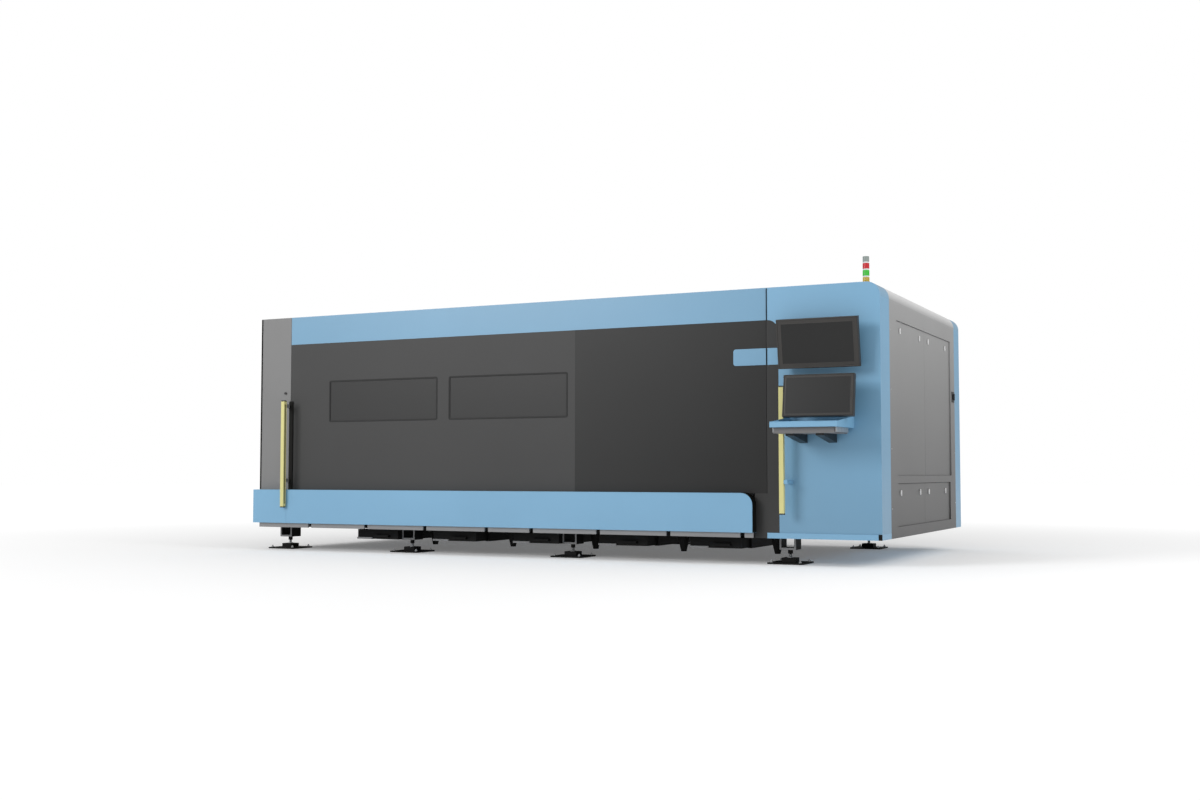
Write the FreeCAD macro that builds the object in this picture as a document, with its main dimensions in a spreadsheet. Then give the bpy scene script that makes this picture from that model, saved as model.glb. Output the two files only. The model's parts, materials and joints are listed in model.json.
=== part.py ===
import FreeCAD, Part
import Sketcher
import os
import re

# Enclosed fibre laser cutting machine with a pull-out cutting table.
# Frame: X to the right along the front, Y into the depth (the front faces -Y), Z up from the floor.
# The origin is on the floor, under the middle of the machine's overall box.

# Driving sizes in millimetres (angles in degrees), each held by one cell of the sheet.
SIZES = {
    # overall enclosure
    "column_width": 336, "door_width": 4466, "cabinet_width": 861, "body_depth": 2778, "body_bottom": 197,
    "roof_height": 2067, "sheet_thick": 3, "roof_round": 100, "roof_drop": 8, "front_gap": 0.3, "seam": 3,
    "door_slot": 65, "overshoot": 1,
    # front door
    "door_bottom": 529, "top_band_height": 244, "door_depth": 60, "frame_tube": 50, "skin_split": 2472,
    "window_sill": 1131, "window_height": 353, "window_width": 1114, "window_one_right": 2543,
    "window_two_right": 3781, "window_thick": 6, "window_lap": 20, "tab_reach": 262, "tab_bottom": 1487,
    "tab_height": 125, "tab_proud": 4, "tab_round": 20, "trim_round": 86, "trim_gap": 41, "trim_lap": 10,
    "guide_left": 20, "guide_right": 60, "guide_width": 40, "guide_rise": 30,
    # pull-out table front and the strip under it
    "band_depth": 88, "band_height": 293, "skirt_height": 42, "band_inset": 88, "joint_lap": 33,
    "band_round": 88, "band_wall": 4, "skirt_setback": 22, "skirt_thick": 16, "skirt_gap": 36,
    "skirt_pitch": 599, "skirt_first": 87, "skirt_second": 2303, "skirt_lift": 4, "strip_start": 55,
    "strip_inset": 2, "joint_gap": 1,
    # cutting table
    "table_side_room": 66, "bed_side_lap": 19, "table_start": 30, "table_depth": 1740, "table_tube": 60,
    "table_top": 440, "table_tube_height": 100, "slat_height": 72, "slat_thick": 3, "slat_count": 36,
    "slat_tooth": 75, "slat_notch": 22, "slat_inset": 60, "arm_count": 5, "arm_height": 60, "arm_inset": 40,
    "arm_rise": 20, "cross_count": 5, "runner_play": 5, "runner_length": 1600, "runner_thick": 15,
    "runner_height": 60,
    # machine bed
    "sill_start": 155, "sill_depth": 150, "sill_height": 50, "sill_end": 60, "rear_sill": 378,
    "mid_sill": 960, "tube_wall": 8, "bed_side": 80, "bed_side_height": 183, "bed_side_end": 1860,
    "post_width": 120, "stand_left": 150, "stand_right": 40, "beam_bottom": 600, "beam_height": 140,
    "beam_depth": 120, "rear_beam": 1900,
    # levelling feet
    "foot_plate": 275, "foot_thick": 12, "foot_pad": 105, "foot_pad_height": 33, "foot_screw": 10,
    "foot_nut": 20, "foot_nut_height": 30, "foot_line": 230, "rear_foot_line": 303, "foot_one": 100,
    "foot_two": 2605, "foot_three": 4170, "foot_four": 167, "bracket_width": 128, "bracket_base": 16,
    "bracket_web": 14, "bracket_height": 92, "anchor_hole": 7, "anchor_pitch": 225,
    # scrap drawers and outlets
    "scrap_count": 5, "scrap_first": 1318, "scrap_pitch": 783, "scrap_width": 420, "scrap_depth": 900,
    "scrap_bottom": 108, "scrap_height": 82, "scrap_start": 112, "scrap_wall": 3, "scrap_lip": 154,
    "lip_reach": 14, "grip_start": 40, "grip_reach": 26, "grip_length": 140, "grip_tall": 16,
    "grip_rise": 20, "rail_lap": 20, "rail_room": 5, "rail_web": 10, "ledge_thick": 6, "tie_thick": 10,
    "rail_start": 298, "rail_length": 702, "outlet_top": 55, "outlet_tip": 22, "outlet_drop": 140,
    "outlet_line": 420,
    # gantry
    "rail_width": 30, "rail_height": 25, "gantry_width": 300, "gantry_height": 240, "gantry_inset": 200,
    "truck_height": 34.7, "truck_width": 360, "gantry_wall": 8, "carriage_thick": 60, "carriage_width": 240,
    "carriage_height": 300, "carriage_start": 190, "carriage_drop": 30, "barrel_step": 8, "head_width": 90,
    "head_length": 330, "head_bottom": 660, "nozzle_length": 60, "nozzle_top": 16, "nozzle_tip": 4,
    # light curtains
    "curtain_width": 34, "curtain_start": 94, "curtain_bottom": 380, "curtain_length": 936,
    "curtain_left": 2, "curtain_right": 727, "curtain_bracket": 28, "bracket_setback": 4,
    "curtain_bracket_low": 600, "curtain_bracket_high": 1260, "bracket_tall": 30, "gland_radius": 10,
    "gland_reach": 12, "gland_level": 1390, "gland_inset": 55,
    # beacon
    "beacon_right": 187, "beacon_line": 330, "beacon_radius": 24, "beacon_base": 36, "beacon_lens": 42,
    "beacon_ring": 11, "beacon_cap": 40, "beacon_step": 1,
    # displays
    "upper_width": 609, "upper_height": 363, "upper_right": 120, "upper_centre": 1630, "upper_arm": 88,
    "upper_tilt": 8.7, "lower_width": 525, "lower_height": 309, "lower_right": 134, "lower_centre": 1230,
    "lower_arm": 172, "lower_tilt": -8.5, "display_thick": 42, "display_back": 16, "bezel_upper": 34,
    "bezel_lower": 20, "screen_thick": 4, "hinge_pin": 8, "hinge_play": 0.05, "hinge_length": 150,
    "ear_thick": 12, "ear_wall": 8, "ear_reach": 6, "mount_plate": 120, "mount_thick": 8, "mount_arm": 60,
    "mount_arm_height": 40, "arm_nose": 2,
    # console tray, keyboard drawer
    "tray_right": 197, "tray_width": 493, "tray_reach": 440, "tray_bottom": 1005, "tray_lip": 38,
    "tray_rear_height": 84, "keys_right": 231, "keys_width": 445, "keys_depth": 340, "keys_height": 41,
    "keys_front": 400, "board_thick": 22, "gusset_width": 60, "gusset_reach": 330, "gusset_drop": 62,
    "gusset_tip": 14, "wing_flat": 40, "keys_clear": 2, "board_inset": 12, "board_front": 30,
    "board_depth": 140, "board_round": 5, "mouse_right": 262, "mouse_line": 310, "mouse_width": 60,
    "mouse_length": 105, "mouse_height": 36, "mouse_round": 14,
    # right side
    "side_front": 264, "side_rear": 214, "side_frame_depth": 34, "cover_recess": 11, "cover_thick": 20,
    "cover_wall": 2, "cover_start": 483, "cover_span": 1914, "middle_rail": 56, "top_rail": 128,
    "lower_cover_start": 470, "lower_cover_span": 1883, "lower_cover_bottom": 278,
    "lower_cover_height": 324, "latch_front": 121, "latch_rear": 186, "latch_drop": 70, "latch_radius": 17,
    "latch_disc": 4, "latch_grip": 42, "latch_grip_width": 12, "latch_grip_height": 7, "latch_shaft": 6,
    "latch_back": 4, "shaft_play": 0.05, "isolator_start": 2443, "isolator_size": 92,
    "isolator_bottom": 1302, "isolator_plate": 5, "isolator_reach": 18, "isolator_knob": 28,
    "knob_thick": 6, "knob_sink": 2, "knob_grip": 16,
    # inside the cabinet and at the rear
    "plinth_height": 41, "plinth_proud": 6, "collar_radius": 125, "collar_reach": 60, "collar_height": 620,
    "collar_flange": 145, "flange_thick": 4, "inlet_radius": 20, "inlet_pitch": 120, "inlet_first": 500,
    "inlet_height": 420, "source_inset": 190, "source_line": 500, "source_width": 450, "source_depth": 800,
    "source_height": 650, "rack_depth": 800, "rack_height": 1200, "rack_line": 1420, "rack_plate": 20,
    "drive_depth": 190, "drive_start": 40, "drive_gap": 60, "drive_low": 120, "drive_space": 140,
}

# Places worked out from the driving sizes.
PLACES = {
    "left_x": "-(column_width + door_width + cabinet_width + isolator_reach) / 2",
    "door_x": "left_x + column_width",
    "cabinet_x": "door_x + door_width",
    "right_x": "cabinet_x + cabinet_width",
    "front_y": "(tray_reach - body_depth - collar_reach) / 2",
    "back_y": "front_y + body_depth",
    "band_bottom": "body_bottom + skirt_height",
    "top_band": "roof_height - top_band_height",
    "side_top": "roof_height - roof_round - roof_drop",
    "trim_x": "right_x - curtain_right - trim_gap",
    "sill_top": "body_bottom + sill_height",
    "sill_y": "front_y + sill_start",
    "beam_top": "beam_bottom + beam_height",
    "rail_top": "beam_top + rail_height",
    "stand_left_x": "left_x + stand_left",
    "stand_right_x": "cabinet_x + stand_right",
    "table_left": "door_x + table_side_room",
    "table_right": "band_x - table_side_room",
    "table_y": "front_y + table_start",
    "runner_z": "table_top - table_tube_height",
    "gantry_x": "cabinet_x - gantry_inset - gantry_width",
    "gantry_z": "rail_top + front_gap + truck_height",
    "rear_beam_y": "front_y + rear_beam",
    "carriage_x": "gantry_x - carriage_thick - front_gap",
    "carriage_y": "front_y + carriage_start + beam_depth",
    "head_x": "carriage_x - head_width - front_gap",
    "head_y": "carriage_y + (carriage_width - head_width) / 2",
    "beacon_x": "right_x - beacon_right",
    "beacon_y": "front_y + beacon_line",
    "tray_x": "right_x - tray_right - tray_width",
    "keys_z": "tray_bottom - keys_clear - keys_height",
    "keys_y": "front_y - keys_front",
    "keys_x": "right_x - keys_right - keys_width",
    "side_y": "front_y + side_front",
    "side_end": "back_y - side_rear",
    "cover_x": "right_x - cover_recess - cover_thick",
    "upper_cover_bottom": "lower_cover_bottom + lower_cover_height + middle_rail",
    "upper_cover_height": "side_top - top_rail - upper_cover_bottom",
    "isolator_y": "front_y + isolator_start",
    "joint_x": "door_x + joint_lap",
    "band_x": "cabinet_x - band_inset",
    "collar_x": "0",
}

WORD = re.compile(r"[A-Za-z_][A-Za-z_0-9]*")
AXES = {"X": FreeCAD.Rotation(FreeCAD.Vector(0, 1, 0), 90),
        "Y": FreeCAD.Rotation(FreeCAD.Vector(1, 0, 0), -90),
        "Z": FreeCAD.Rotation()}
PLANES = {"XY": "XY_Plane", "XZ": "XZ_Plane", "YZ": "YZ_Plane"}

doc = FreeCAD.newDocument("LaserCutter")
sheet = doc.addObject("Spreadsheet::Sheet", "Sizes")
subparts = []


def fill_sheet():
    """One row for each driving size: its word in A, its plain number in B."""
    for row, (word, value) in enumerate(SIZES.items(), start=1):
        sheet.set("A%d" % row, word)
        sheet.set("B%d" % row, str(value))
        sheet.setAlias("B%d" % row, word)
    doc.recompute()


def linked(text):
    """An expression with every size word tied to its cell and every place word written out."""
    def swap(found):
        word = found.group(0)
        if word in SIZES:
            return "Sizes." + word
        if word in PLACES:
            return "(" + linked(PLACES[word]) + ")"
        return word
    return WORD.sub(swap, str(text))


def number(text):
    """The present value of an expression, for outlines and counts."""
    plain = re.sub(r"Sizes\.(\w+)", lambda found: "(%r)" % float(sheet.get(found.group(1))), linked(text))
    return FreeCAD.Units.parseQuantity(plain).Value


def place(item, corner):
    """Ties an object's position to three expressions."""
    for axis, text in zip("xyz", corner):
        item.setExpression("Placement.Base." + axis, linked(text))
    return item


def keep(item, name):
    """Marks an object as a sub-part: its label becomes its file's name."""
    item.Label = name
    subparts.append(item)
    return item


def box(name, corner, span):
    item = doc.addObject("Part::Box", name)
    for side, text in zip(("Length", "Width", "Height"), span):
        item.setExpression(side, linked(text))
    return place(item, corner)


def rod(name, start, radius, length, along="Z"):
    item = doc.addObject("Part::Cylinder", name)
    item.setExpression("Radius", linked(radius))
    item.setExpression("Height", linked(length))
    item.Placement.Rotation = AXES[along]
    return place(item, start)


def cone(name, start, radius_start, radius_end, length, along="Z"):
    item = doc.addObject("Part::Cone", name)
    item.setExpression("Radius1", linked(radius_start))
    item.setExpression("Radius2", linked(radius_end))
    item.setExpression("Height", linked(length))
    item.Placement.Rotation = AXES[along]
    return place(item, start)


def cut(name, base, *tools):
    item = doc.addObject("Part::Cut", name)
    item.Base = base
    item.Tool = tools[0] if len(tools) == 1 else fuse(name + "_tools", *tools)
    return item


def fuse(name, *members):
    item = doc.addObject("Part::MultiFuse", name)
    item.Shapes = list(members)
    item.Refine = True
    return item


def group(name, *members):
    """Separate solids of one kind that share a node."""
    item = doc.addObject("Part::Compound", name)
    item.Links = list(members)
    return item


def rounded(name, base, radius, picks):
    """Rounds the edges of base that pick out true, all with one bound radius."""
    doc.recompute()
    item = doc.addObject("Part::Fillet", name)
    item.Base = base
    value = number(radius)
    item.Edges = [(index, value, value) for index, edge in enumerate(base.Shape.Edges, start=1) if picks(edge)]
    return item


def tube(name, corner, span, along, wall="tube_wall"):
    """A rectangular hollow section, open at its two ends."""
    outer = box(name + "_outer", corner, span)
    inner_corner = ["%s + %s" % (text, wall) for text in corner]
    inner_span = ["%s - 2 * %s" % (text, wall) for text in span]
    index = "XYZ".index(along)
    inner_corner[index] = corner[index]
    inner_span[index] = span[index]
    return cut(name, outer, box(name + "_inner", inner_corner, inner_span))


def outline_sketch(body, name, plane, points):
    """A closed outline on one of the body's own planes, each corner tied to its two expressions."""
    sketch = body.newObject("Sketcher::SketchObject", name)
    role = PLANES[plane]
    sketch.AttachmentSupport = [(next(item for item in body.Origin.OriginFeatures if item.Role == role), "")]
    sketch.MapMode = "FlatFace"
    spots = [FreeCAD.Vector(number(a), number(b), 0) for a, b in points]
    count = len(points)
    for index in range(count):
        sketch.addGeometry(Part.LineSegment(spots[index], spots[(index + 1) % count]), False)
    for index in range(count):
        sketch.addConstraint(Sketcher.Constraint("Coincident", index, 2, (index + 1) % count, 1))
    for index, pair in enumerate(points):
        for kind, text, value in (("DistanceX", pair[0], spots[index].x), ("DistanceY", pair[1], spots[index].y)):
            which = sketch.addConstraint(Sketcher.Constraint(kind, -1, 1, index, 1, value))
            sketch.setExpression("Constraints[%d]" % which, linked(text))
    return sketch


def rectangle(x, y, width, height):
    right = "%s + %s" % (x, width)
    top = "%s + %s" % (y, height)
    return [(x, y), (right, y), (right, top), (x, top)]


def plate(name, plane, corner, points, thick, rounds=(), holes=()):
    """A body padded from an outline towards +X, +Y or +Z, with rounded corners and through cut-outs.

    rounds holds (corner index, radius) pairs and holes holds closed outlines.
    """
    body = doc.addObject("PartDesign::Body", name)
    sketch = outline_sketch(body, name + "_outline", plane, points)
    pad = body.newObject("PartDesign::Pad", name + "_pad")
    pad.Profile = sketch
    pad.Reversed = plane == "XZ"
    pad.setExpression("Length", linked(thick))
    doc.recompute()
    last = pad
    for index, radius in rounds:
        spot = sketch.Placement.multVec(FreeCAD.Vector(number(points[index][0]), number(points[index][1]), 0))
        normal = sketch.Placement.Rotation.multVec(FreeCAD.Vector(0, 0, 1))
        edge = next(which for which, item in enumerate(last.Shape.Edges, start=1)
                    if runs_through(item, spot, normal))
        fillet = body.newObject("PartDesign::Fillet", "%s_round_%d" % (name, index))
        fillet.Base = (last, ["Edge%d" % edge])
        fillet.setExpression("Radius", linked(radius))
        doc.recompute()
        last = fillet
    for index, hole in enumerate(holes):
        cutter = outline_sketch(body, "%s_hole_%d" % (name, index), plane, hole)
        pocket = body.newObject("PartDesign::Pocket", "%s_pocket_%d" % (name, index))
        pocket.Profile = cutter
        pocket.Type = "ThroughAll"
        pocket.Midplane = True
        before = last.Shape.Volume
        doc.recompute()
        if pocket.Shape.Volume > before - 1:
            raise RuntimeError("the cut-out of %s removes nothing" % name)
        last = pocket
    return place(body, corner)


def runs_through(edge, spot, normal):
    """True for a straight edge along normal whose line passes through spot."""
    ends = [vertex.Point for vertex in edge.Vertexes]
    if len(ends) != 2:
        return False
    along = ends[1] - ends[0]
    if along.Length < 1e-6 or along.cross(normal).Length > 1e-6 * along.Length:
        return False
    return min((end - spot).Length for end in ends) < 1e-3


def pan(name, plane, corner, points, depth, wall, rounds=()):
    """A folded pan: a front skin with a rim all round, open at the back (towards +X, +Y or +Z)."""
    shell = plate(name + "_block", plane, corner, points, depth, rounds)
    low_x, low_y = points[0]
    inner = [("%s + %s" % (low_x, wall), "%s + %s" % (low_y, wall)),
             ("%s - %s" % (points[1][0], wall), "%s + %s" % (low_y, wall)),
             ("%s - %s" % (points[2][0], wall), "%s - %s" % (points[2][1], wall)),
             ("%s + %s" % (low_x, wall), "%s - %s" % (points[3][1], wall))]
    inner_rounds = [(index, "%s - %s" % (radius, wall)) for index, radius in rounds]
    normal_axis = {"XY": 2, "XZ": 1, "YZ": 0}[plane]
    inner_corner = list(corner)
    inner_corner[normal_axis] = "%s + %s" % (corner[normal_axis], wall)
    return cut(name, shell, plate(name + "_hollow", plane, inner_corner, inner, depth, inner_rounds))


# ---------------------------------------------------------------- feet and bed

FOOT_PLACES = (("foot_one", "cabinet_x + foot_one"), ("foot_two", "right_x - foot_two"),
               ("foot_three", "right_x - foot_three"), ("foot_four", "left_x + foot_four"))


def foot_spots():
    """The centre of each levelling foot: four along the front, four along the rear."""
    for row, line in (("front", "front_y + foot_line"), ("rear", "back_y - rear_foot_line")):
        for word, x in FOOT_PLACES:
            yield "%s_%s" % (row, word), x, line


def levelling_feet():
    members = []
    for tag, x, y in foot_spots():
        base = box(tag + "_base", ("%s - foot_plate / 2" % x, "%s - foot_plate / 2" % y, "0"),
                   ("foot_plate", "foot_plate", "foot_thick"))
        pad = box(tag + "_pad", ("%s - foot_pad / 2" % x, "%s - foot_pad / 2" % y, "foot_thick"),
                  ("foot_pad", "foot_pad", "foot_pad_height"))
        anchors = [rod("%s_anchor_%d" % (tag, index), ("%s + %d * anchor_pitch / 2" % (x, side_x),
                       "%s + %d * anchor_pitch / 2" % (y, side_y), "-overshoot"), "anchor_hole",
                       "foot_thick + 2 * overshoot")
                   for index, (side_x, side_y) in enumerate(((-1, -1), (1, -1), (-1, 1), (1, 1)))]
        members.append(cut(tag + "_plate", fuse(tag + "_foot", base, pad), *anchors))
        members.append(rod(tag + "_screw", (x, y, "foot_thick + foot_pad_height"), "foot_screw",
                           "body_bottom - bracket_height - foot_thick - foot_pad_height"))
        nut = doc.addObject("Part::Prism", tag + "_nut")
        nut.Polygon = 6
        nut.setExpression("Circumradius", linked("foot_nut"))
        nut.setExpression("Height", linked("foot_nut_height"))
        place(nut, (x, y, "body_bottom - bracket_height - foot_nut_height"))
        members.append(cut(tag + "_locknut", nut, rod(tag + "_bore", (x, y, "foot_thick"), "foot_screw",
                                                      "body_bottom")))
    keep(group("levelling_feet", *members), "levelling_feet")


def foot_brackets():
    """U-shaped brackets welded under the sills, one over each foot."""
    members = []
    for tag, x, y in foot_spots():
        low = "body_bottom - bracket_height"
        base = box(tag + "_bracket_base", ("%s - bracket_width / 2" % x, "%s - bracket_width / 2" % y, low),
                   ("bracket_width", "bracket_width", "bracket_base"))
        webs = [box("%s_bracket_web_%d" % (tag, side),
                    ("%s + %s" % (x, offset), "%s - bracket_width / 2" % y, low + " + bracket_base"),
                    ("bracket_web", "bracket_width", "bracket_height - bracket_base"))
                for side, offset in enumerate(("-bracket_width / 2", "bracket_width / 2 - bracket_web"))]
        members += [base] + webs
    return members


def bed_sills():
    """Three long sills on the feet and the ties across them."""
    start = "left_x + sill_end"
    length = "right_x - sill_end - (left_x + sill_end)"
    members = [tube("%s_sill" % tag, (start, y, "body_bottom"), (length, depth, "sill_height"), "X")
               for tag, y, depth in (("front", "sill_y", "sill_depth"),
                                     ("middle", "front_y + mid_sill", "frame_tube"),
                                     ("rear", "back_y - rear_sill", "sill_depth"))]
    spans = (("front", "sill_y + sill_depth", "front_y + mid_sill"),
             ("rear", "front_y + mid_sill + frame_tube", "back_y - rear_sill"))
    for word, x in FOOT_PLACES:
        for tag, low, high in spans:
            members.append(tube("%s_tie_%s" % (tag, word), (x + " - bed_side / 2", low, "body_bottom"),
                                ("bed_side", "%s - (%s)" % (high, low), "sill_height"), "Y"))
    return members


def bed_sides():
    """The two side members that carry the table's runners."""
    low = "sill_top"
    length = "front_y + bed_side_end - sill_y"
    return [tube("bed_side_%s" % tag, (x, "sill_y", low), ("bed_side", length, "bed_side_height"), "Y")
            for tag, x in (("left", "door_x + bed_side_lap - bed_side"), ("right", "band_x - bed_side_lap"))]


def gantry_beams():
    """Two long beams on posts, which carry the gantry's rails."""
    members = []
    ends = (("left", "stand_left_x"), ("right", "stand_right_x"))
    rows = (("front", "sill_y"), ("rear", "rear_beam_y"))
    for row, y in rows:
        for tag, x in ends:
            members.append(tube("%s_%s_post" % (row, tag), (x, y, "sill_top"),
                                ("post_width", "beam_depth", "beam_bottom - sill_top"), "Z"))
        members.append(tube("%s_beam" % row, ("stand_left_x", y, "beam_bottom"),
                            ("stand_right_x + post_width - stand_left_x", "beam_depth", "beam_height"), "X"))
    return members


def scrap_rails():
    """Angle rails under the bed, one each side of every scrap drawer."""
    members = []
    ledge = "rail_lap + rail_room + rail_web"
    low = "scrap_bottom - ledge_thick"
    for index in range(int(SIZES["scrap_count"])):
        centre = "right_x - scrap_first - %d * scrap_pitch" % index
        for side in (-1, 1):
            ledge_x = ("%s + %d * (scrap_width + rail_room + rail_web - rail_lap) / 2 - (%s) / 2"
                       % (centre, side, ledge))
            web_x = "%s + %d * (scrap_width / 2 + rail_room + rail_web / 2) - rail_web / 2" % (centre, side)
            shelf = box("scrap_ledge_%d_%d" % (index, side + 1), (ledge_x, "front_y + rail_start", low),
                        (ledge, "rail_length", "ledge_thick - front_gap"))
            web = box("scrap_web_%d_%d" % (index, side + 1), (web_x, "front_y + rail_start", low),
                      ("rail_web", "rail_length", "body_bottom - (%s)" % low))
            members.append(fuse("scrap_rail_%d_%d" % (index, side + 1), shelf, web))
    return members


def outlets():
    """Tapered dust outlets between the scrap drawers, and a smaller one behind each drawer's middle."""
    members = []
    for index in range(int(SIZES["scrap_count"])):
        x = "right_x - scrap_first - %d * scrap_pitch + scrap_pitch / 2" % index
        members.append(cone("outlet_%d" % index, (x, "front_y + outlet_line", "body_bottom - outlet_drop"),
                            "outlet_tip", "outlet_top", "outlet_drop"))
        members.append(box("outlet_tie_%d" % index, (x + " - outlet_top", "sill_y + sill_depth", "body_bottom"),
                           ("2 * outlet_top", "outlet_line + outlet_top - sill_start - sill_depth", "tie_thick")))
    return members


def bed_frame():
    members = bed_sills() + bed_sides() + gantry_beams() + foot_brackets() + scrap_rails() + outlets()
    keep(group("bed_frame", *members), "bed_frame")


def guide_rails():
    """Gantry rails, the fixed halves of the table's runners and the door's guides."""
    members = [box("gantry_rail_%s" % row, ("stand_left_x", y + " + (beam_depth - rail_width) / 2", "beam_top"),
                   ("stand_right_x + post_width - stand_left_x", "rail_width", "rail_height"))
               for row, y in (("front", "sill_y"), ("rear", "rear_beam_y"))]
    for tag, x in (("left", "door_x + bed_side_lap"),
                   ("right", "band_x - bed_side_lap - runner_thick")):
        members.append(box("table_rail_%s" % tag, (x, "sill_y", "runner_z"),
                           ("runner_thick", "runner_length", "runner_height")))
    for tag, x in (("left", "door_x + guide_left"), ("right", "cabinet_x - guide_right")):
        members.append(box("door_guide_%s" % tag,
                           (x, "front_y + door_depth + front_gap", "door_bottom + guide_rise"),
                           ("guide_width", "sill_start - door_depth - front_gap",
                            "roof_height - sheet_thick - door_bottom - guide_rise")))
    keep(group("guide_rails", *members), "guide_rails")


# ---------------------------------------------------------------- enclosure

def left_column():
    shell = box("column_block", ("left_x", "front_y", "body_bottom"),
                ("column_width", "door_slot", "roof_height - body_bottom"))
    hollow = box("column_hollow", ("left_x + sheet_thick", "front_y + sheet_thick", "body_bottom + sheet_thick"),
                 ("column_width - 2 * sheet_thick", "door_slot", "roof_height - body_bottom - 2 * sheet_thick"))
    keep(cut("left_column", shell, hollow), "left_column")


def left_band():
    """The fixed end of the blue front band, with its piece of the grey strip below."""
    width = "joint_x - left_x"
    face = pan("left_band_pan", "XZ", ("left_x", "front_y - band_depth", "band_bottom"),
               rectangle("0", "0", width, "band_height"), "band_depth - front_gap", "band_wall")
    strip = box("left_strip", ("left_x + strip_start", "front_y - band_depth + skirt_setback",
                                "body_bottom + skirt_lift"),
                (width + " - strip_start", "skirt_thick", "skirt_height - skirt_lift"))
    keep(group("left_band", face, strip), "left_band")


def body_panels():
    """The plain left side and rear sheets."""
    side = box("left_sheet", ("left_x", "front_y + door_slot", "body_bottom"),
               ("sheet_thick", "body_depth - door_slot", "roof_height - sheet_thick - body_bottom"))
    rear = box("rear_sheet", ("left_x + sheet_thick", "back_y - sheet_thick", "body_bottom"),
               ("right_x - side_rear - left_x - sheet_thick", "sheet_thick",
                "roof_height - sheet_thick - body_bottom"))
    port = rod("rear_port", ("collar_x", "back_y - sheet_thick - overshoot", "collar_height"),
               "collar_radius - sheet_thick", "sheet_thick + 2 * overshoot", "Y")
    keep(group("body_panels", side, cut("rear_panel", rear, port)), "body_panels")


def roof_profile(width):
    """The roof sheet's section, folded round at its right edge."""
    top = "roof_round + roof_drop"
    return [("0", top + " - sheet_thick"), ("%s - sheet_thick" % width, top + " - sheet_thick"),
            ("%s - sheet_thick" % width, "0"), (width, "0"), (width, top), ("0", top)]


def roof_panels():
    flat = box("main_roof", ("left_x", "front_y + door_slot", "roof_height - sheet_thick"),
               ("column_width + door_width", "body_depth - door_slot", "sheet_thick"))
    folded = plate("cabinet_roof", "XZ", ("cabinet_x", "front_y + sheet_thick", "side_top"),
                   roof_profile("cabinet_width"), "body_depth - 2 * sheet_thick",
                   rounds=((1, "roof_round - sheet_thick"), (4, "roof_round")))
    keep(group("roof_panels", flat, folded), "roof_panels")


def cabinet_front():
    """The blue front sheet, folded back along the right side, with the tab towards the door."""
    low = "body_bottom + plinth_height"
    trim = "trim_x - cabinet_x"
    points = [(trim, "0"), ("cabinet_width", "0"), ("cabinet_width", "roof_height - (%s)" % low),
              ("0", "roof_height - (%s)" % low), ("0", "top_band - (%s)" % low),
              (trim, "top_band - (%s)" % low), (trim, "tab_bottom + tab_height - (%s)" % low),
              ("0", "tab_bottom + tab_height - (%s)" % low), ("0", "tab_bottom - (%s)" % low),
              (trim, "tab_bottom - (%s)" % low)]
    face = plate("cabinet_face", "XZ", ("cabinet_x", "front_y", low), points, "sheet_thick",
                 rounds=((2, "roof_round"), (5, "trim_round")))
    fold = box("cabinet_fold", ("right_x - sheet_thick", "front_y + sheet_thick", low),
               ("sheet_thick", "side_front - sheet_thick", "side_top - (%s)" % low))
    keep(fuse("cabinet_front", face, fold), "cabinet_front")


def cabinet_trim():
    """Dark sheets beside the door, above and below the tab; the lower one runs on behind the band."""
    width = "trim_x - cabinet_x"
    upper = plate("trim_upper", "XZ", ("cabinet_x", "front_y", "tab_bottom + tab_height"),
                  rectangle("0", "0", width, "top_band - tab_bottom - tab_height"), "sheet_thick",
                  rounds=((2, "trim_round"),))
    reach = "band_inset + trim_lap"
    points = [("-(%s)" % reach, "0"), (width, "0"), (width, "tab_bottom - body_bottom - plinth_height"),
              ("0", "tab_bottom - body_bottom - plinth_height"),
              ("0", "door_bottom - body_bottom - plinth_height"),
              ("-(%s)" % reach, "door_bottom - body_bottom - plinth_height")]
    lower = plate("trim_lower", "XZ", ("cabinet_x", "front_y", "body_bottom + plinth_height"), points,
                  "sheet_thick")
    sill = box("trim_sill", ("cabinet_x - (%s)" % reach, "front_y", "body_bottom"),
               (reach, "sheet_thick", "plinth_height"))
    keep(group("cabinet_trim", upper, fuse("trim_panel", lower, sill)), "cabinet_trim")


def cabinet_floor():
    """The cabinet's floor sheet, whose front edge is folded down into the plinth lip."""
    floor = box("floor_sheet", ("stand_right_x + post_width", "front_y + sheet_thick", "sill_top"),
                ("right_x - side_frame_depth - sheet_thick - stand_right_x - post_width",
                 "body_depth - 2 * sheet_thick", "sheet_thick"))
    web = box("floor_web", ("cabinet_x + sheet_thick", "front_y + sheet_thick", "body_bottom"),
              ("cabinet_width - 2 * sheet_thick - side_frame_depth", "sheet_thick", "sill_height"))
    lip = box("plinth_lip", ("cabinet_x", "front_y - plinth_proud", "body_bottom"),
              ("cabinet_width", "plinth_proud + sheet_thick", "plinth_height"))
    keep(fuse("cabinet_floor", floor, web, lip), "cabinet_floor")


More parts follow.
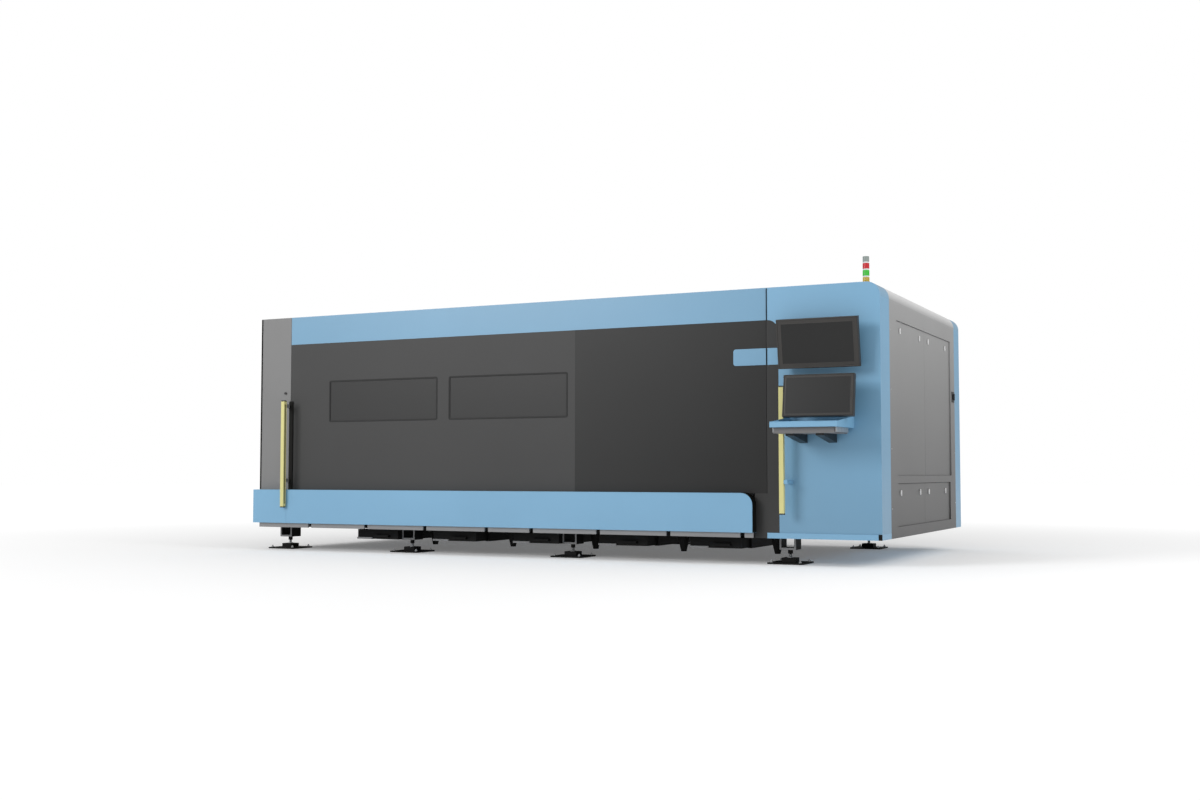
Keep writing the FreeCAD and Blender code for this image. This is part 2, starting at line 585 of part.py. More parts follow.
def side_frame():
    """Grey stiles and rails round the four service covers."""
    x = "right_x - side_frame_depth"
    top = "side_top"
    full = "%s - body_bottom" % top
    cover_end = "front_y + cover_start + cover_span"
    lower_end = "front_y + lower_cover_start + lower_cover_span"
    upper_z = "upper_cover_bottom"
    lower_top = "lower_cover_bottom + lower_cover_height"
    parts = [
        ("front_stile", ("side_y", "body_bottom"), ("front_y + lower_cover_start - side_y", full)),
        ("rear_stile", (cover_end, "body_bottom"), ("side_end - (%s)" % cover_end, full)),
        ("inner_stile", ("front_y + lower_cover_start", upper_z),
         ("cover_start - lower_cover_start", "%s - %s" % (top, upper_z))),
        ("lower_rear_stile", (lower_end, "body_bottom"),
         ("%s - (%s)" % (cover_end, lower_end), "%s - body_bottom" % lower_top)),
        ("top_rail", ("front_y + cover_start", "upper_cover_bottom + upper_cover_height"),
         ("cover_span", "top_rail")),
        ("middle_rail", ("front_y + lower_cover_start", lower_top),
         ("%s - front_y - lower_cover_start" % cover_end, "middle_rail")),
        ("bottom_rail", ("front_y + lower_cover_start", "body_bottom"),
         ("lower_cover_span", "lower_cover_bottom - body_bottom")),
    ]
    members = [box("side_" + tag, (x, y, z), ("side_frame_depth", width, height))
               for tag, (y, z), (width, height) in parts]
    keep(group("side_frame", *members), "side_frame")


def rear_corner():
    """The blue rear corner sheet, folded from the rear onto the right side."""
    face = plate("rear_corner_face", "XZ", ("right_x - side_rear", "back_y - sheet_thick", "body_bottom"),
                 rectangle("0", "0", "side_rear", "roof_height - body_bottom"), "sheet_thick",
                 rounds=((2, "roof_round"),))
    fold = box("rear_corner_fold", ("right_x - sheet_thick", "side_end", "body_bottom"),
               ("sheet_thick", "side_rear - sheet_thick", "side_top - body_bottom"))
    keep(fuse("rear_corner", face, fold), "rear_corner")


# ---------------------------------------------------------------- front door

def window_holes():
    return [rectangle("right_x - %s - window_width - door_x - seam" % word, "window_sill - door_bottom",
                      "window_width", "window_height") for word in ("window_one_right", "window_two_right")]


def door_skin():
    """Two dark sheets side by side, the left one with the window openings."""
    height = "top_band - door_bottom"
    split = "right_x - skin_split"
    left = plate("door_skin_left", "XZ", ("door_x + seam", "front_y", "door_bottom"),
                 rectangle("0", "0", split + " - door_x - seam", height), "sheet_thick", holes=window_holes())
    right = plate("door_skin_right", "XZ", (split, "front_y", "door_bottom"),
                  rectangle("0", "0", "cabinet_x - seam - (%s)" % split, height), "sheet_thick")
    keep(group("door_skin", left, right), "door_skin")


def door_windows():
    members = [box("pane_" + word, ("right_x - %s - window_width - window_lap" % word, "front_y + sheet_thick",
                                    "window_sill - window_lap"),
                   ("window_width + 2 * window_lap", "window_thick", "window_height + 2 * window_lap"))
               for word in ("window_one_right", "window_two_right")]
    keep(group("door_windows", *members), "door_windows")


def door_band():
    """The blue sheet along the door's top, and the door's half of the tab."""
    band = box("top_band_sheet", ("door_x + seam", "front_y", "top_band"),
               ("door_width - 2 * seam", "sheet_thick", "top_band_height"))
    tab = plate("door_tab", "XZ", ("right_x - cabinet_width - tab_reach", "front_y - tab_proud", "tab_bottom"),
                rectangle("0", "0", "tab_reach - seam", "tab_height"), "tab_proud",
                rounds=((0, "tab_round"), (3, "tab_round")))
    keep(group("door_band", band, tab), "door_band")


def door_frame():
    """Welded tubes behind the door's sheets."""
    y = "front_y + sheet_thick"
    depth = "door_depth - sheet_thick"
    left = "door_x + seam"
    right = "cabinet_x - seam - frame_tube"
    length = "door_width - 2 * seam"
    members = [tube("door_rail_" + tag, (left, y, z), (length, depth, "frame_tube"), "X", "sheet_thick")
               for tag, z in (("bottom", "door_bottom"), ("top", "roof_height - frame_tube"))]
    stile_height = "roof_height - door_bottom - 2 * frame_tube"
    gap_centre = "right_x - (window_one_right + window_width + window_two_right) / 2"
    stiles = (("left", left), ("right", right), ("split", "right_x - skin_split - frame_tube / 2"),
              ("windows", gap_centre + " - frame_tube / 2"))
    members += [tube("door_stile_" + tag, (x, y, "door_bottom + frame_tube"),
                     ("frame_tube", depth, stile_height), "Z", "sheet_thick") for tag, x in stiles]
    keep(group("door_frame", *members), "door_frame")


# ---------------------------------------------------------------- pull-out table

def drawer_front():
    points = rectangle("0", "0", "band_x - joint_x - 2 * front_gap - joint_gap", "band_height")
    face = pan("drawer_front", "XZ", ("joint_x + joint_gap", "front_y - band_depth", "band_bottom"),
               points, "band_depth - front_gap", "band_wall", rounds=((2, "band_round"),))
    keep(face, "drawer_front")


def drawer_skirt():
    """The grey strip under the drawer front, in lengths with open gaps between them."""
    gaps = ["skirt_first + %d * skirt_pitch" % step for step in range(4)]
    gaps += ["skirt_second + %d * skirt_pitch" % step for step in range(4)]
    starts = ["strip_inset"] + ["%s + skirt_gap / 2" % text for text in gaps]
    ends = ["%s - skirt_gap / 2" % text for text in gaps] + ["band_x - joint_x - joint_gap"]
    members = [box("strip_%d" % index, ("band_x - (%s)" % end, "front_y - band_depth + skirt_setback",
                                         "body_bottom + skirt_lift"),
                   ("%s - (%s)" % (end, start), "skirt_thick", "skirt_height - skirt_lift"))
               for index, (start, end) in enumerate(zip(starts, ends))]
    keep(group("drawer_skirt", *members), "drawer_skirt")


def table_frame():
    """The table's tubes, the arms to its front and the inner halves of its runners."""
    z = "runner_z"
    height = "table_tube_height"
    width = "table_right - table_left"
    members = [tube("table_long_" + tag, ("table_left", y, z), (width, "table_tube", height), "X", "sheet_thick")
               for tag, y in (("front", "table_y"), ("rear", "table_y + table_depth - table_tube"))]
    cross = "table_depth - 2 * table_tube"
    for step in range(int(SIZES["cross_count"])):
        x = "table_left + %d * (%s - table_tube) / (cross_count - 1)" % (step, width)
        members.append(tube("table_cross_%d" % step, (x, "table_y + table_tube", z),
                            ("table_tube", cross, height), "Y", "sheet_thick"))
    for step in range(int(SIZES["arm_count"])):
        x = "table_left + arm_inset + %d * (%s - 2 * arm_inset - table_tube) / (arm_count - 1)" % (step, width)
        members.append(box("table_arm_%d" % step, (x, "front_y - band_depth + band_wall", z + " + arm_rise"),
                           ("table_tube", "band_depth - band_wall + table_start", "arm_height")))
    for tag, x in (("left", "table_left - runner_thick"), ("right", "table_right")):
        members.append(box("inner_runner_" + tag, (x, "sill_y", z),
                           ("runner_thick", "runner_length", "runner_height")))
    keep(group("table_frame", *members), "table_frame")


def runner_middles():
    """The sliding middle members of the table's telescopic runners."""
    thick = "table_side_room - bed_side_lap - 2 * runner_thick - 2 * front_gap"
    members = [box("middle_runner_" + tag, (x, "sill_y", "runner_z + runner_play"),
                   (thick, "runner_length", "runner_height - 2 * runner_play"))
               for tag, x in (("left", "door_x + bed_side_lap + runner_thick + front_gap"),
                              ("right", "table_right + runner_thick + front_gap"))]
    keep(group("runner_middles", *members), "runner_middles")


def slats():
    """Toothed slats that stand on edge across the table, made once and repeated along it."""
    length = number("table_depth - 2 * slat_inset")
    height = number("slat_height")
    pitch = number("slat_tooth")
    notch = number("slat_notch")
    teeth = int(length // pitch)
    spare = (length - teeth * pitch) / 2
    points = [FreeCAD.Vector(0, 0, 0), FreeCAD.Vector(0, length, 0), FreeCAD.Vector(0, length, height - notch)]
    for step in range(teeth, 0, -1):
        points.append(FreeCAD.Vector(0, spare + step * pitch, height - notch))
        points.append(FreeCAD.Vector(0, spare + (step - 0.5) * pitch, height))
    points += [FreeCAD.Vector(0, spare, height - notch), FreeCAD.Vector(0, 0, height - notch)]
    points = [point for index, point in enumerate(points)
              if index == 0 or (point - points[index - 1]).Length > 1e-6]
    blade = Part.Face(Part.makePolygon(points + points[:1])).extrude(FreeCAD.Vector(number("slat_thick"), 0, 0))
    count = int(number("slat_count"))
    start = number("table_left + table_tube")
    step = (number("table_right - table_tube - slat_thick") - start) / (count - 1)
    item = doc.addObject("Part::Feature", "slats")
    item.Shape = Part.makeCompound([blade.translated(FreeCAD.Vector(index * step, 0, 0)) for index in range(count)])
    place(item, ("table_left + table_tube", "table_y + slat_inset", "table_top"))
    keep(item, "slats")


# ---------------------------------------------------------------- gantry and cutting head

def gantry_beam():
    """A hollow crossbeam with an end truck over each rail and a rail for the carriage."""
    length = "rear_beam_y + beam_depth - sill_y"
    members = [tube("crossbeam", ("gantry_x", "sill_y", "gantry_z"), ("gantry_width", length, "gantry_height"),
                    "Y", "gantry_wall")]
    truck_x = "gantry_x - (truck_width - gantry_width) / 2"
    for row, y in (("front", "sill_y"), ("rear", "rear_beam_y")):
        members.append(box("truck_" + row, (truck_x, y, "rail_top + front_gap"),
                           ("truck_width", "beam_depth", "truck_height")))
    keep(group("gantry_beam", *members), "gantry_beam")


def carriage():
    plate_body = box("carriage_plate", ("carriage_x", "carriage_y", "gantry_z - carriage_drop"),
                     ("carriage_thick", "carriage_width", "carriage_height"))
    cap = box("carriage_cap", ("carriage_x", "carriage_y", "gantry_z + gantry_height + front_gap"),
              ("carriage_thick + gantry_width / 2", "carriage_width", "truck_height"))
    keep(fuse("carriage", plate_body, cap), "carriage")


def cutting_head():
    """The head's slim housing with its round lower barrel."""
    housing = box("head_housing", ("head_x", "head_y", "head_bottom + head_length / 3"),
                  ("head_width", "head_width", "2 * head_length / 3"))
    barrel = rod("head_barrel", ("head_x + head_width / 2", "head_y + head_width / 2", "head_bottom"),
                 "head_width / 2 - barrel_step", "head_length / 3 + overshoot")
    keep(fuse("cutting_head", housing, barrel), "cutting_head")


def nozzle():
    keep(cone("nozzle", ("head_x + head_width / 2", "head_y + head_width / 2", "head_bottom - nozzle_length"),
              "nozzle_tip", "nozzle_top", "nozzle_length"), "nozzle")


# ---------------------------------------------------------------- light curtains and beacon

def light_curtains():
    """Two square posts that face each other across the drawer's front."""
    members = [box("curtain_post_" + tag, (x, "front_y - curtain_start - curtain_width", "curtain_bottom"),
                   ("curtain_width", "curtain_width", "curtain_length"))
               for tag, x in (("left", "door_x - curtain_left"), ("right", "right_x - curtain_right"))]
    keep(group("light_curtains", *members), "light_curtains")


def curtain_brackets():
    """Stand-off blocks that hold the curtain posts from the sides that face away from the beam."""
    members = []
    for tag, x in (("left", "door_x - curtain_left - curtain_bracket"),
                   ("right", "right_x - curtain_right + curtain_width")):
        for level, z in (("low", "curtain_bracket_low"), ("high", "curtain_bracket_high")):
            members.append(box("curtain_bracket_%s_%s" % (tag, level),
                               (x, "front_y - curtain_start - curtain_width + bracket_setback", z),
                               ("curtain_bracket", "curtain_start + curtain_width - bracket_setback",
                                "bracket_tall")))
    return members


def beacon():
    """The signal tower: a base collar, three lenses with rings between them, and a cap."""
    spot = ("beacon_x", "beacon_y")
    step = "(beacon_lens + beacon_ring)"
    start = "roof_height + beacon_base"
    body = [rod("beacon_collar", spot + ("roof_height",), "beacon_radius", "beacon_base")]
    lenses = []
    for index in range(3):
        low = "%s + %d * %s" % (start, index, step)
        lenses.append(rod("beacon_lens_%d" % index, spot + (low,), "beacon_radius", "beacon_lens"))
        body.append(rod("beacon_ring_%d" % index, spot + (low + " + beacon_lens",), "beacon_radius - beacon_step",
                        "beacon_ring"))
    body.append(rod("beacon_top", spot + ("%s + 3 * %s" % (start, step),), "beacon_radius", "beacon_cap"))
    keep(group("tower_body", *body), "tower_body")
    keep(group("tower_lenses", *lenses), "tower_lenses")


# ---------------------------------------------------------------- displays and console

def display(tag):
    """A tilting display: housing with two hinge ears at its back, and the screen in its front."""
    width, height = "%s_width" % tag, "%s_height" % tag
    pivot = ("right_x - %s_right - %s / 2" % (tag, width), "front_y - %s_arm" % tag, "%s_centre" % tag)
    face = "-(display_back + display_thick)"
    block = box(tag + "_block", ("-%s / 2" % width, face, "-%s / 2" % height), (width, "display_thick", height))
    bezel = "bezel_%s" % tag
    recess = box(tag + "_recess", ("-%s / 2 + %s" % (width, bezel), face + " - overshoot",
                  "-%s / 2 + %s" % (height, bezel)),
                 ("%s - 2 * %s" % (width, bezel), "screen_thick + overshoot", "%s - 2 * %s" % (height, bezel)))
    ears = [box("%s_ear_%d" % (tag, side), (x, "-display_back", "-hinge_pin - ear_wall"),
                ("ear_thick", "display_back + hinge_pin + ear_reach", "2 * (hinge_pin + ear_wall)"))
            for side, x in enumerate(("-hinge_length / 2", "hinge_length / 2 - ear_thick"))]
    bore = rod(tag + "_ear_bore", ("-hinge_length", "0", "0"), "hinge_pin + hinge_play", "2 * hinge_length", "X")
    screen = box(tag + "_screen", ("-%s / 2 + %s" % (width, bezel), face, "-%s / 2 + %s" % (height, bezel)),
                 ("%s - 2 * %s" % (width, bezel), "screen_thick", "%s - 2 * %s" % (height, bezel)))
    housing = cut(tag + "_display_shell", fuse(tag + "_display_solid", block, *ears), recess, bore)
    for name, solid in (("%s_monitor" % tag, housing), ("%s_monitor_screen" % tag, screen)):
        item = group(name, solid)
        item.Placement.Rotation = FreeCAD.Rotation(FreeCAD.Vector(1, 0, 0), 1)
        item.setExpression("Placement.Rotation.Angle", linked("%s_tilt" % tag))
        keep(place(item, pivot), name)


def display_mount(tag):
    """The wall plate, arm and cross pin that one display turns on."""
    x = "right_x - %s_right - %s_width / 2" % (tag, tag)
    y = "front_y - %s_arm" % tag
    z = "%s_centre" % tag
    wall = box(tag + "_wall_plate", (x + " - mount_plate / 2", "front_y - mount_thick", z + " - mount_plate / 2"),
               ("mount_plate", "mount_thick", "mount_plate"))
    arm = box(tag + "_arm", (x + " - mount_arm / 2", y + " - hinge_pin - arm_nose", z + " - mount_arm_height / 2"),
              ("mount_arm", "%s_arm - mount_thick + hinge_pin + arm_nose" % tag, "mount_arm_height"))
    pin = rod(tag + "_pin", (x + " - hinge_length / 2", y, z), "hinge_pin", "hinge_length", "X")
    return fuse(tag + "_mount", wall, arm, pin)


def gussets():
    """Two tapered brackets under the keyboard drawer."""
    members = []
    for index, share in enumerate(("0.22", "0.72")):
        points = [("0", "0"), ("0", "gusset_drop"), ("-gusset_reach", "gusset_drop"),
                  ("-gusset_reach", "gusset_drop - gusset_tip")]
        members.append(plate("gusset_%d" % index, "YZ",
                             ("keys_x + %s * keys_width - gusset_width / 2" % share, "front_y",
                              "keys_z - front_gap - gusset_drop"), points, "gusset_width"))
    return members


def support_brackets():
    members = [display_mount("upper"), display_mount("lower")] + gussets() + curtain_brackets()
    keep(group("support_brackets", *members), "support_brackets")


def console_tray():
    """A folded shelf: floor, front lip, back plate and two side wings that rise to the rear."""
    floor = box("tray_floor", ("tray_x", "front_y - tray_reach", "tray_bottom"),
                ("tray_width", "tray_reach", "sheet_thick"))
    lip = box("tray_lip", ("tray_x", "front_y - tray_reach", "tray_bottom"),
              ("tray_width", "sheet_thick", "tray_lip"))
    back = box("tray_back", ("tray_x", "front_y - sheet_thick", "tray_bottom"),
               ("tray_width", "sheet_thick", "tray_rear_height"))
    points = [("-tray_reach", "0"), ("0", "0"), ("0", "tray_rear_height"), ("-wing_flat", "tray_rear_height"),
              ("-tray_reach", "tray_lip")]
    wings = [plate("tray_wing_" + tag, "YZ", (x, "front_y", "tray_bottom"), points, "sheet_thick")
             for tag, x in (("left", "tray_x"), ("right", "tray_x + tray_width - sheet_thick"))]
    keep(fuse("console_tray", floor, lip, back, *wings), "console_tray")


def keyboard_drawer():
    shell = box("keys_block", ("keys_x", "keys_y", "keys_z"), ("keys_width", "keys_depth", "keys_height"))
    hollow = box("keys_hollow", ("keys_x + sheet_thick", "keys_y + sheet_thick", "keys_z + sheet_thick"),
                 ("keys_width - 2 * sheet_thick", "keys_depth - 2 * sheet_thick", "keys_height"))
    keep(cut("keyboard_drawer", shell, hollow), "keyboard_drawer")


def keyboard():
    slab = box("keyboard_slab", ("keys_x + board_inset", "keys_y + board_front", "keys_z + sheet_thick"),
               ("keys_width - 2 * board_inset", "board_depth", "board_thick"))
    keep(rounded("keyboard", slab, "board_round", lambda edge: edge.BoundBox.ZLength > 1), "keyboard")


def mouse():
    slab = box("mouse_slab",
               ("right_x - mouse_right - mouse_width", "front_y - mouse_line", "tray_bottom + sheet_thick"),
               ("mouse_width", "mouse_length", "mouse_height"))
    keep(rounded("mouse", slab, "mouse_round", lambda edge: edge.BoundBox.ZMax > edge.BoundBox.ZMin + 1
                 or edge.BoundBox.ZMin > number("tray_bottom + sheet_thick + mouse_height / 2")), "mouse")


# ---------------------------------------------------------------- right side

COVERS = (("upper_front", "upper_cover", "cover", 0), ("upper_rear", "upper_cover", "cover", 1),
          ("lower_front", "lower_cover", "lower_cover", 0), ("lower_rear", "lower_cover", "lower_cover", 1))


def cover_spot(size_word, span_word, step):
    """One cover's front edge, bottom edge, width and height, with a seam all round."""
    width = "(%s_span - 3 * seam) / 2" % span_word
    y = "front_y + %s_start + seam + %d * (%s + seam)" % (span_word, step, width)
    return y, "%s_bottom + front_gap" % size_word, width, "%s_height - seam - front_gap" % size_word


def latch_spots(size_word, span_word, step):
    y, z, width, height = cover_spot(size_word, span_word, step)
    level = "%s + %s - latch_drop" % (z, height)
    return ("front", y + " + latch_front", level), ("rear", "%s + %s - latch_rear" % (y, width), level)


def service_cover(tag, size_word, span_word, step):
    """A folded cover with a hole for each of its two latches."""
    y, z, width, height = cover_spot(size_word, span_word, step)
    block = box(tag + "_block", ("cover_x", y, z), ("cover_thick", width, height))
    hollow = box(tag + "_hollow", ("cover_x - overshoot", y + " + cover_wall", z + " + cover_wall"),
                 ("cover_thick - cover_wall + overshoot", width + " - 2 * cover_wall", height + " - 2 * cover_wall"))
    bores = [rod("%s_bore_%s" % (tag, side), ("cover_x", spot_y, spot_z), "latch_shaft + shaft_play",
                 "cover_thick + overshoot", "X") for side, spot_y, spot_z in latch_spots(size_word, span_word, step)]
    name = tag + "_cover"
    keep(cut(name, block, hollow, *bores), name)


def latches(tag, size_word, span_word, step):
    """Two quarter-turn latches, each a disc with a raised grip and a shaft through the cover."""
    for side, y, z in latch_spots(size_word, span_word, step):
        name = "%s_%s_latch" % (tag, side)
        face = "cover_x + cover_thick + front_gap"
        disc = rod(name + "_disc", (face, y, z), "latch_radius", "latch_disc", "X")
        grip = box(name + "_grip", (face + " + latch_disc - overshoot", y + " - latch_grip_width / 2",
                                    z + " - latch_grip / 2"),
                   ("latch_grip_height", "latch_grip_width", "latch_grip"))
        shaft = rod(name + "_shaft", ("cover_x + latch_back", y, z), "latch_shaft",
                    "cover_thick - latch_back + overshoot", "X")
        keep(fuse(name, disc, grip, shaft), name)


def isolator():
    """The main switch: a square plate and a rotary knob with a bar grip."""
    y = "isolator_y + isolator_size / 2"
    z = "isolator_bottom + isolator_size / 2"
    square = box("isolator_square", ("right_x", "isolator_y", "isolator_bottom"),
                 ("isolator_plate", "isolator_size", "isolator_size"))
    bore = rod("isolator_bore", ("right_x - overshoot", y, z), "latch_shaft + shaft_play",
               "isolator_plate + 2 * overshoot", "X")
    keep(cut("isolator_plate", square, bore), "isolator_plate")
    face = "right_x + isolator_plate + front_gap"
    disc = rod("knob_disc", (face, y, z), "isolator_knob", "knob_thick", "X")
    grip = box("knob_grip", (face + " + knob_thick - knob_sink", y + " - knob_grip / 2", z + " - isolator_knob"),
               ("isolator_reach - isolator_plate - front_gap - knob_thick + knob_sink", "knob_grip",
                "2 * isolator_knob"))
    shaft = rod("knob_shaft", ("right_x + overshoot", y, z), "latch_shaft", "isolator_plate", "X")
    keep(fuse("isolator_knob", disc, grip, shaft), "isolator_knob")


# ---------------------------------------------------------------- scrap drawers

def scrap_drawer(index):
    """A scrap pan with a turned-up pull lip and a grip bar at its front."""
    x = "right_x - scrap_first - %d * scrap_pitch - scrap_width / 2" % index
    y = "front_y + scrap_start"
    block = box("scrap_block_%d" % index, (x, y, "scrap_bottom"), ("scrap_width", "scrap_depth", "scrap_height"))
    hollow = box("scrap_hollow_%d" % index,
                 (x + " + scrap_wall", y + " + scrap_wall", "scrap_bottom + scrap_wall"),
                 ("scrap_width - 2 * scrap_wall", "scrap_depth - 2 * scrap_wall", "scrap_height"))
    lip = box("scrap_lip_%d" % index, (x, y + " - lip_reach", "scrap_bottom"),
              ("scrap_lip", "lip_reach + overshoot", "lip_reach"))
    grip = box("scrap_grip_%d" % index,
               (x + " + scrap_lip + grip_start", y + " - grip_reach", "scrap_bottom + grip_rise"),
               ("grip_length", "grip_reach + overshoot", "grip_tall"))
    name = "scrap_drawer_%d" % (index + 1)
    keep(fuse(name, cut("scrap_pan_%d" % index, block, hollow), lip, grip), name)


# ---------------------------------------------------------------- inside and rear fittings

def cable_glands():
    """Glands over the curtain posts at the front, and three inlets low on the rear."""
    members = [rod("front_gland_" + tag, (x, "front_y - gland_reach", "gland_level"), "gland_radius",
                   "gland_reach", "Y")
               for tag, x in (("left", "door_x - gland_inset"),
                              ("right", "right_x - curtain_right + gland_radius"))]
    members += [rod("rear_inlet_%d" % index, ("collar_x - inlet_first - %d * inlet_pitch" % index, "back_y",
                                               "inlet_height"),
                    "inlet_radius", "collar_reach / 2", "Y") for index in range(3)]
    keep(group("cable_glands", *members), "cable_glands")


def extraction_collar():
    """A flanged spigot that an exhaust hose clamps onto."""
    flange = rod("collar_flange", ("collar_x", "back_y", "collar_height"), "collar_flange", "flange_thick", "Y")
    barrel = rod("collar_barrel", ("collar_x", "back_y", "collar_height"), "collar_radius", "collar_reach", "Y")
    bore = rod("collar_bore", ("collar_x", "back_y - overshoot", "collar_height"), "collar_radius - sheet_thick",
               "collar_reach + 2 * overshoot", "Y")
    keep(cut("extraction_collar", fuse("collar_solid", flange, barrel), bore), "extraction_collar")


def laser_source():
    keep(box("laser_source", ("cabinet_x + source_inset", "front_y + source_line", "sill_top + sheet_thick"),
             ("source_width", "source_depth", "source_height")), "laser_source")


def electrical_rack():
    """A standing back plate with rows of drive modules."""
    x, y, z = "cabinet_x + source_inset", "front_y + rack_line", "sill_top + sheet_thick"
    members = [box("rack_sheet", (x, y, z), ("rack_plate", "rack_depth", "rack_height"))]
    for row in range(3):
        for column in range(4):
            members.append(box("drive_%d_%d" % (row, column),
                               (x + " + rack_plate", "%s + drive_start + %d * rack_depth / 4" % (y, column),
                                "%s + drive_low + %d * rack_height / 3" % (z, row)),
                               ("drive_depth", "rack_depth / 4 - drive_gap", "rack_height / 3 - drive_space")))
    keep(group("electrical_rack", *members), "electrical_rack")


# ---------------------------------------------------------------- whole machine

def build_machine():
    for make in (levelling_feet, bed_frame, guide_rails, left_column, left_band, body_panels, roof_panels,
                 cabinet_front, cabinet_trim, cabinet_floor, side_frame, rear_corner, door_skin, door_windows,
                 door_band, door_frame, drawer_front, drawer_skirt, table_frame, runner_middles, slats,
                 gantry_beam, carriage, cutting_head, nozzle, light_curtains, beacon, support_brackets,
                 console_tray, keyboard_drawer, keyboard, mouse, isolator, cable_glands, extraction_collar,
                 laser_source, electrical_rack):
        make()
    for tag in ("upper", "lower"):
        display(tag)
    for cover in COVERS:
        service_cover(*cover)
        latches(*cover)
    for index in range(int(number("scrap_count"))):
        scrap_drawer(index)
    doc.recompute()


def check_and_write():
    """Refuses a failed object or a bad shape, then writes one file for each sub-part."""
    for item in doc.Objects:
        if "Invalid" in item.State or "Error" in item.State:
            raise RuntimeError("%s did not rebuild: %s" % (item.Name, item.State))
    for item in subparts:
        if item.Shape.isNull() or not item.Shape.isValid() or not item.Shape.Solids:
            raise RuntimeError("%s has no good solid" % item.Label)
    os.makedirs("parts", exist_ok=True)
    for item in subparts:
        item.Shape.exportStep("parts/%s.step" % item.Label)
    print(len(subparts), "sub-parts written")


fill_sheet()
build_machine()
check_and_write()
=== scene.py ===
"""Looks of an enclosed fibre laser cutting machine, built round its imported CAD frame.

Everything is in metres in the CAD frame: X to the right along the front, Y into the depth, Z up.
"""

import json
import math

import bpy
import numpy as np
from bpy.props import FloatProperty, FloatVectorProperty, IntProperty, PointerProperty
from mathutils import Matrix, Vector


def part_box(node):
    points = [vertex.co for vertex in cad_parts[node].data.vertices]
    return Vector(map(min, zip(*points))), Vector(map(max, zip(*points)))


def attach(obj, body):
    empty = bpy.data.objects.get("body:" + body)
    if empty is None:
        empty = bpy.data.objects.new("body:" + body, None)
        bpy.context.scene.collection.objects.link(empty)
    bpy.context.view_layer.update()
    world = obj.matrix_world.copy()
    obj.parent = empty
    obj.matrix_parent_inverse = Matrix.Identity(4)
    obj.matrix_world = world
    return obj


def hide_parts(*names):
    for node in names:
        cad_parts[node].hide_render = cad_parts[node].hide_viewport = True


bl_info = {
    "name": "Laser Cutting Machine",
    "version": (1, 0, 0),
    "blender": (4, 5, 0),
    "location": "View3D > Sidebar > Laser Cutter",
    "description": "Finishes, trim and fittings of an enclosed fibre laser cutting machine",
    "category": "Object",
}

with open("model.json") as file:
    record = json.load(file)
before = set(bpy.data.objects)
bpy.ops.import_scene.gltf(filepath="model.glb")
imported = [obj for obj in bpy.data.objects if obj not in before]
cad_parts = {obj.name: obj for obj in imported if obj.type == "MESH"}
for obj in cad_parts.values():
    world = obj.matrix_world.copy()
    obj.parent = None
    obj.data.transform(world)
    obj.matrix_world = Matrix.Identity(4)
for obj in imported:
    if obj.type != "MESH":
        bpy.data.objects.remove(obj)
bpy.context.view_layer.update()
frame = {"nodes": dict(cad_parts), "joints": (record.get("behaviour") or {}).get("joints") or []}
NODES = frame["nodes"]


def corners(node):
    """Lowest and highest corner of a CAD node as two arrays."""
    low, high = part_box(node)
    return np.array(low), np.array(high)


# ---------------------------------------------------------------- meshes from arrays


def new_piece(name, shape, body, finish, smooth=None):
    """A piece that rides on a body, with one of the finishes and the slot that goes with it.

    shape is an array of points and a list of index arrays, one row a face. smooth is the largest angle, in
    degrees, between faces that still shade as one curved surface.
    """
    points, faces = shape
    mesh = bpy.data.meshes.new(name)
    points = np.asarray(points, float).reshape(-1, 3)
    faces = [np.asarray(block, int) for block in faces if len(block)]
    totals = np.concatenate([np.full(len(block), block.shape[1]) for block in faces])
    loops = np.concatenate([block.ravel() for block in faces])
    mesh.vertices.add(len(points))
    mesh.vertices.foreach_set("co", points.ravel())
    mesh.loops.add(len(loops))
    mesh.loops.foreach_set("vertex_index", loops)
    mesh.polygons.add(len(totals))
    mesh.polygons.foreach_set("loop_start", np.concatenate([[0], np.cumsum(totals)[:-1]]))
    mesh.polygons.foreach_set("loop_total", totals)
    mesh.update(calc_edges=True)
    if mesh.validate():
        raise RuntimeError(f"the mesh of {name} had bad faces")
    mesh.polygons.foreach_set("use_smooth", np.full(len(totals), smooth is not None))
    if smooth is not None:
        mesh.set_sharp_from_angle(angle=math.radians(smooth))
    mesh.materials.append(FINISHES[finish])
    piece = bpy.data.objects.new(name, mesh)
    bpy.context.scene.collection.objects.link(piece)
    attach(piece, body)
    return piece


def chamfer_pattern():
    """Faces of a box with cut edges and corners: vertex 3k + a is corner k's point across axis a."""
    signs = np.array([[x, y, z] for x in (-1, 1) for y in (-1, 1) for z in (-1, 1)])
    shrunk = 0.8 + 0.2 * np.eye(3)
    spots = (signs[:, None] * shrunk).reshape(-1, 3)
    quads, tris = [], [[3 * k, 3 * k + 1, 3 * k + 2] for k in range(8)]
    for axis in range(3):
        b, c = [a for a in range(3) if a != axis]
        for sign in (-1, 1):
            ring = [k for k in range(8) if signs[k][axis] == sign]
            ring.sort(key=lambda k: math.atan2(signs[k][c], signs[k][b]))
            quads.append([3 * k + axis for k in ring])
        for k in range(8):
            if signs[k][axis] == -1:
                other = next(m for m in range(8) if (signs[m] != signs[k]).sum() == 1 and signs[m][axis] == 1)
                quads.append([3 * k + b, 3 * other + b, 3 * other + c, 3 * k + c])

    def outward(face):
        p = spots[face]
        return face if np.dot(np.cross(p[1] - p[0], p[2] - p[0]), p.mean(0)) > 0 else face[::-1]

    return signs, np.array([outward(f) for f in quads]), np.array([outward(f) for f in tris])


SIGNS, BOX_QUADS, BOX_TRIS = chamfer_pattern()


def repeated(blocks, copies, points_each):
    """The same faces for each of several copies of a shape, counting on from one copy to the next."""
    step = points_each * np.arange(copies)[:, None, None]
    return [(block + step).reshape(-1, block.shape[1]) for block in blocks]


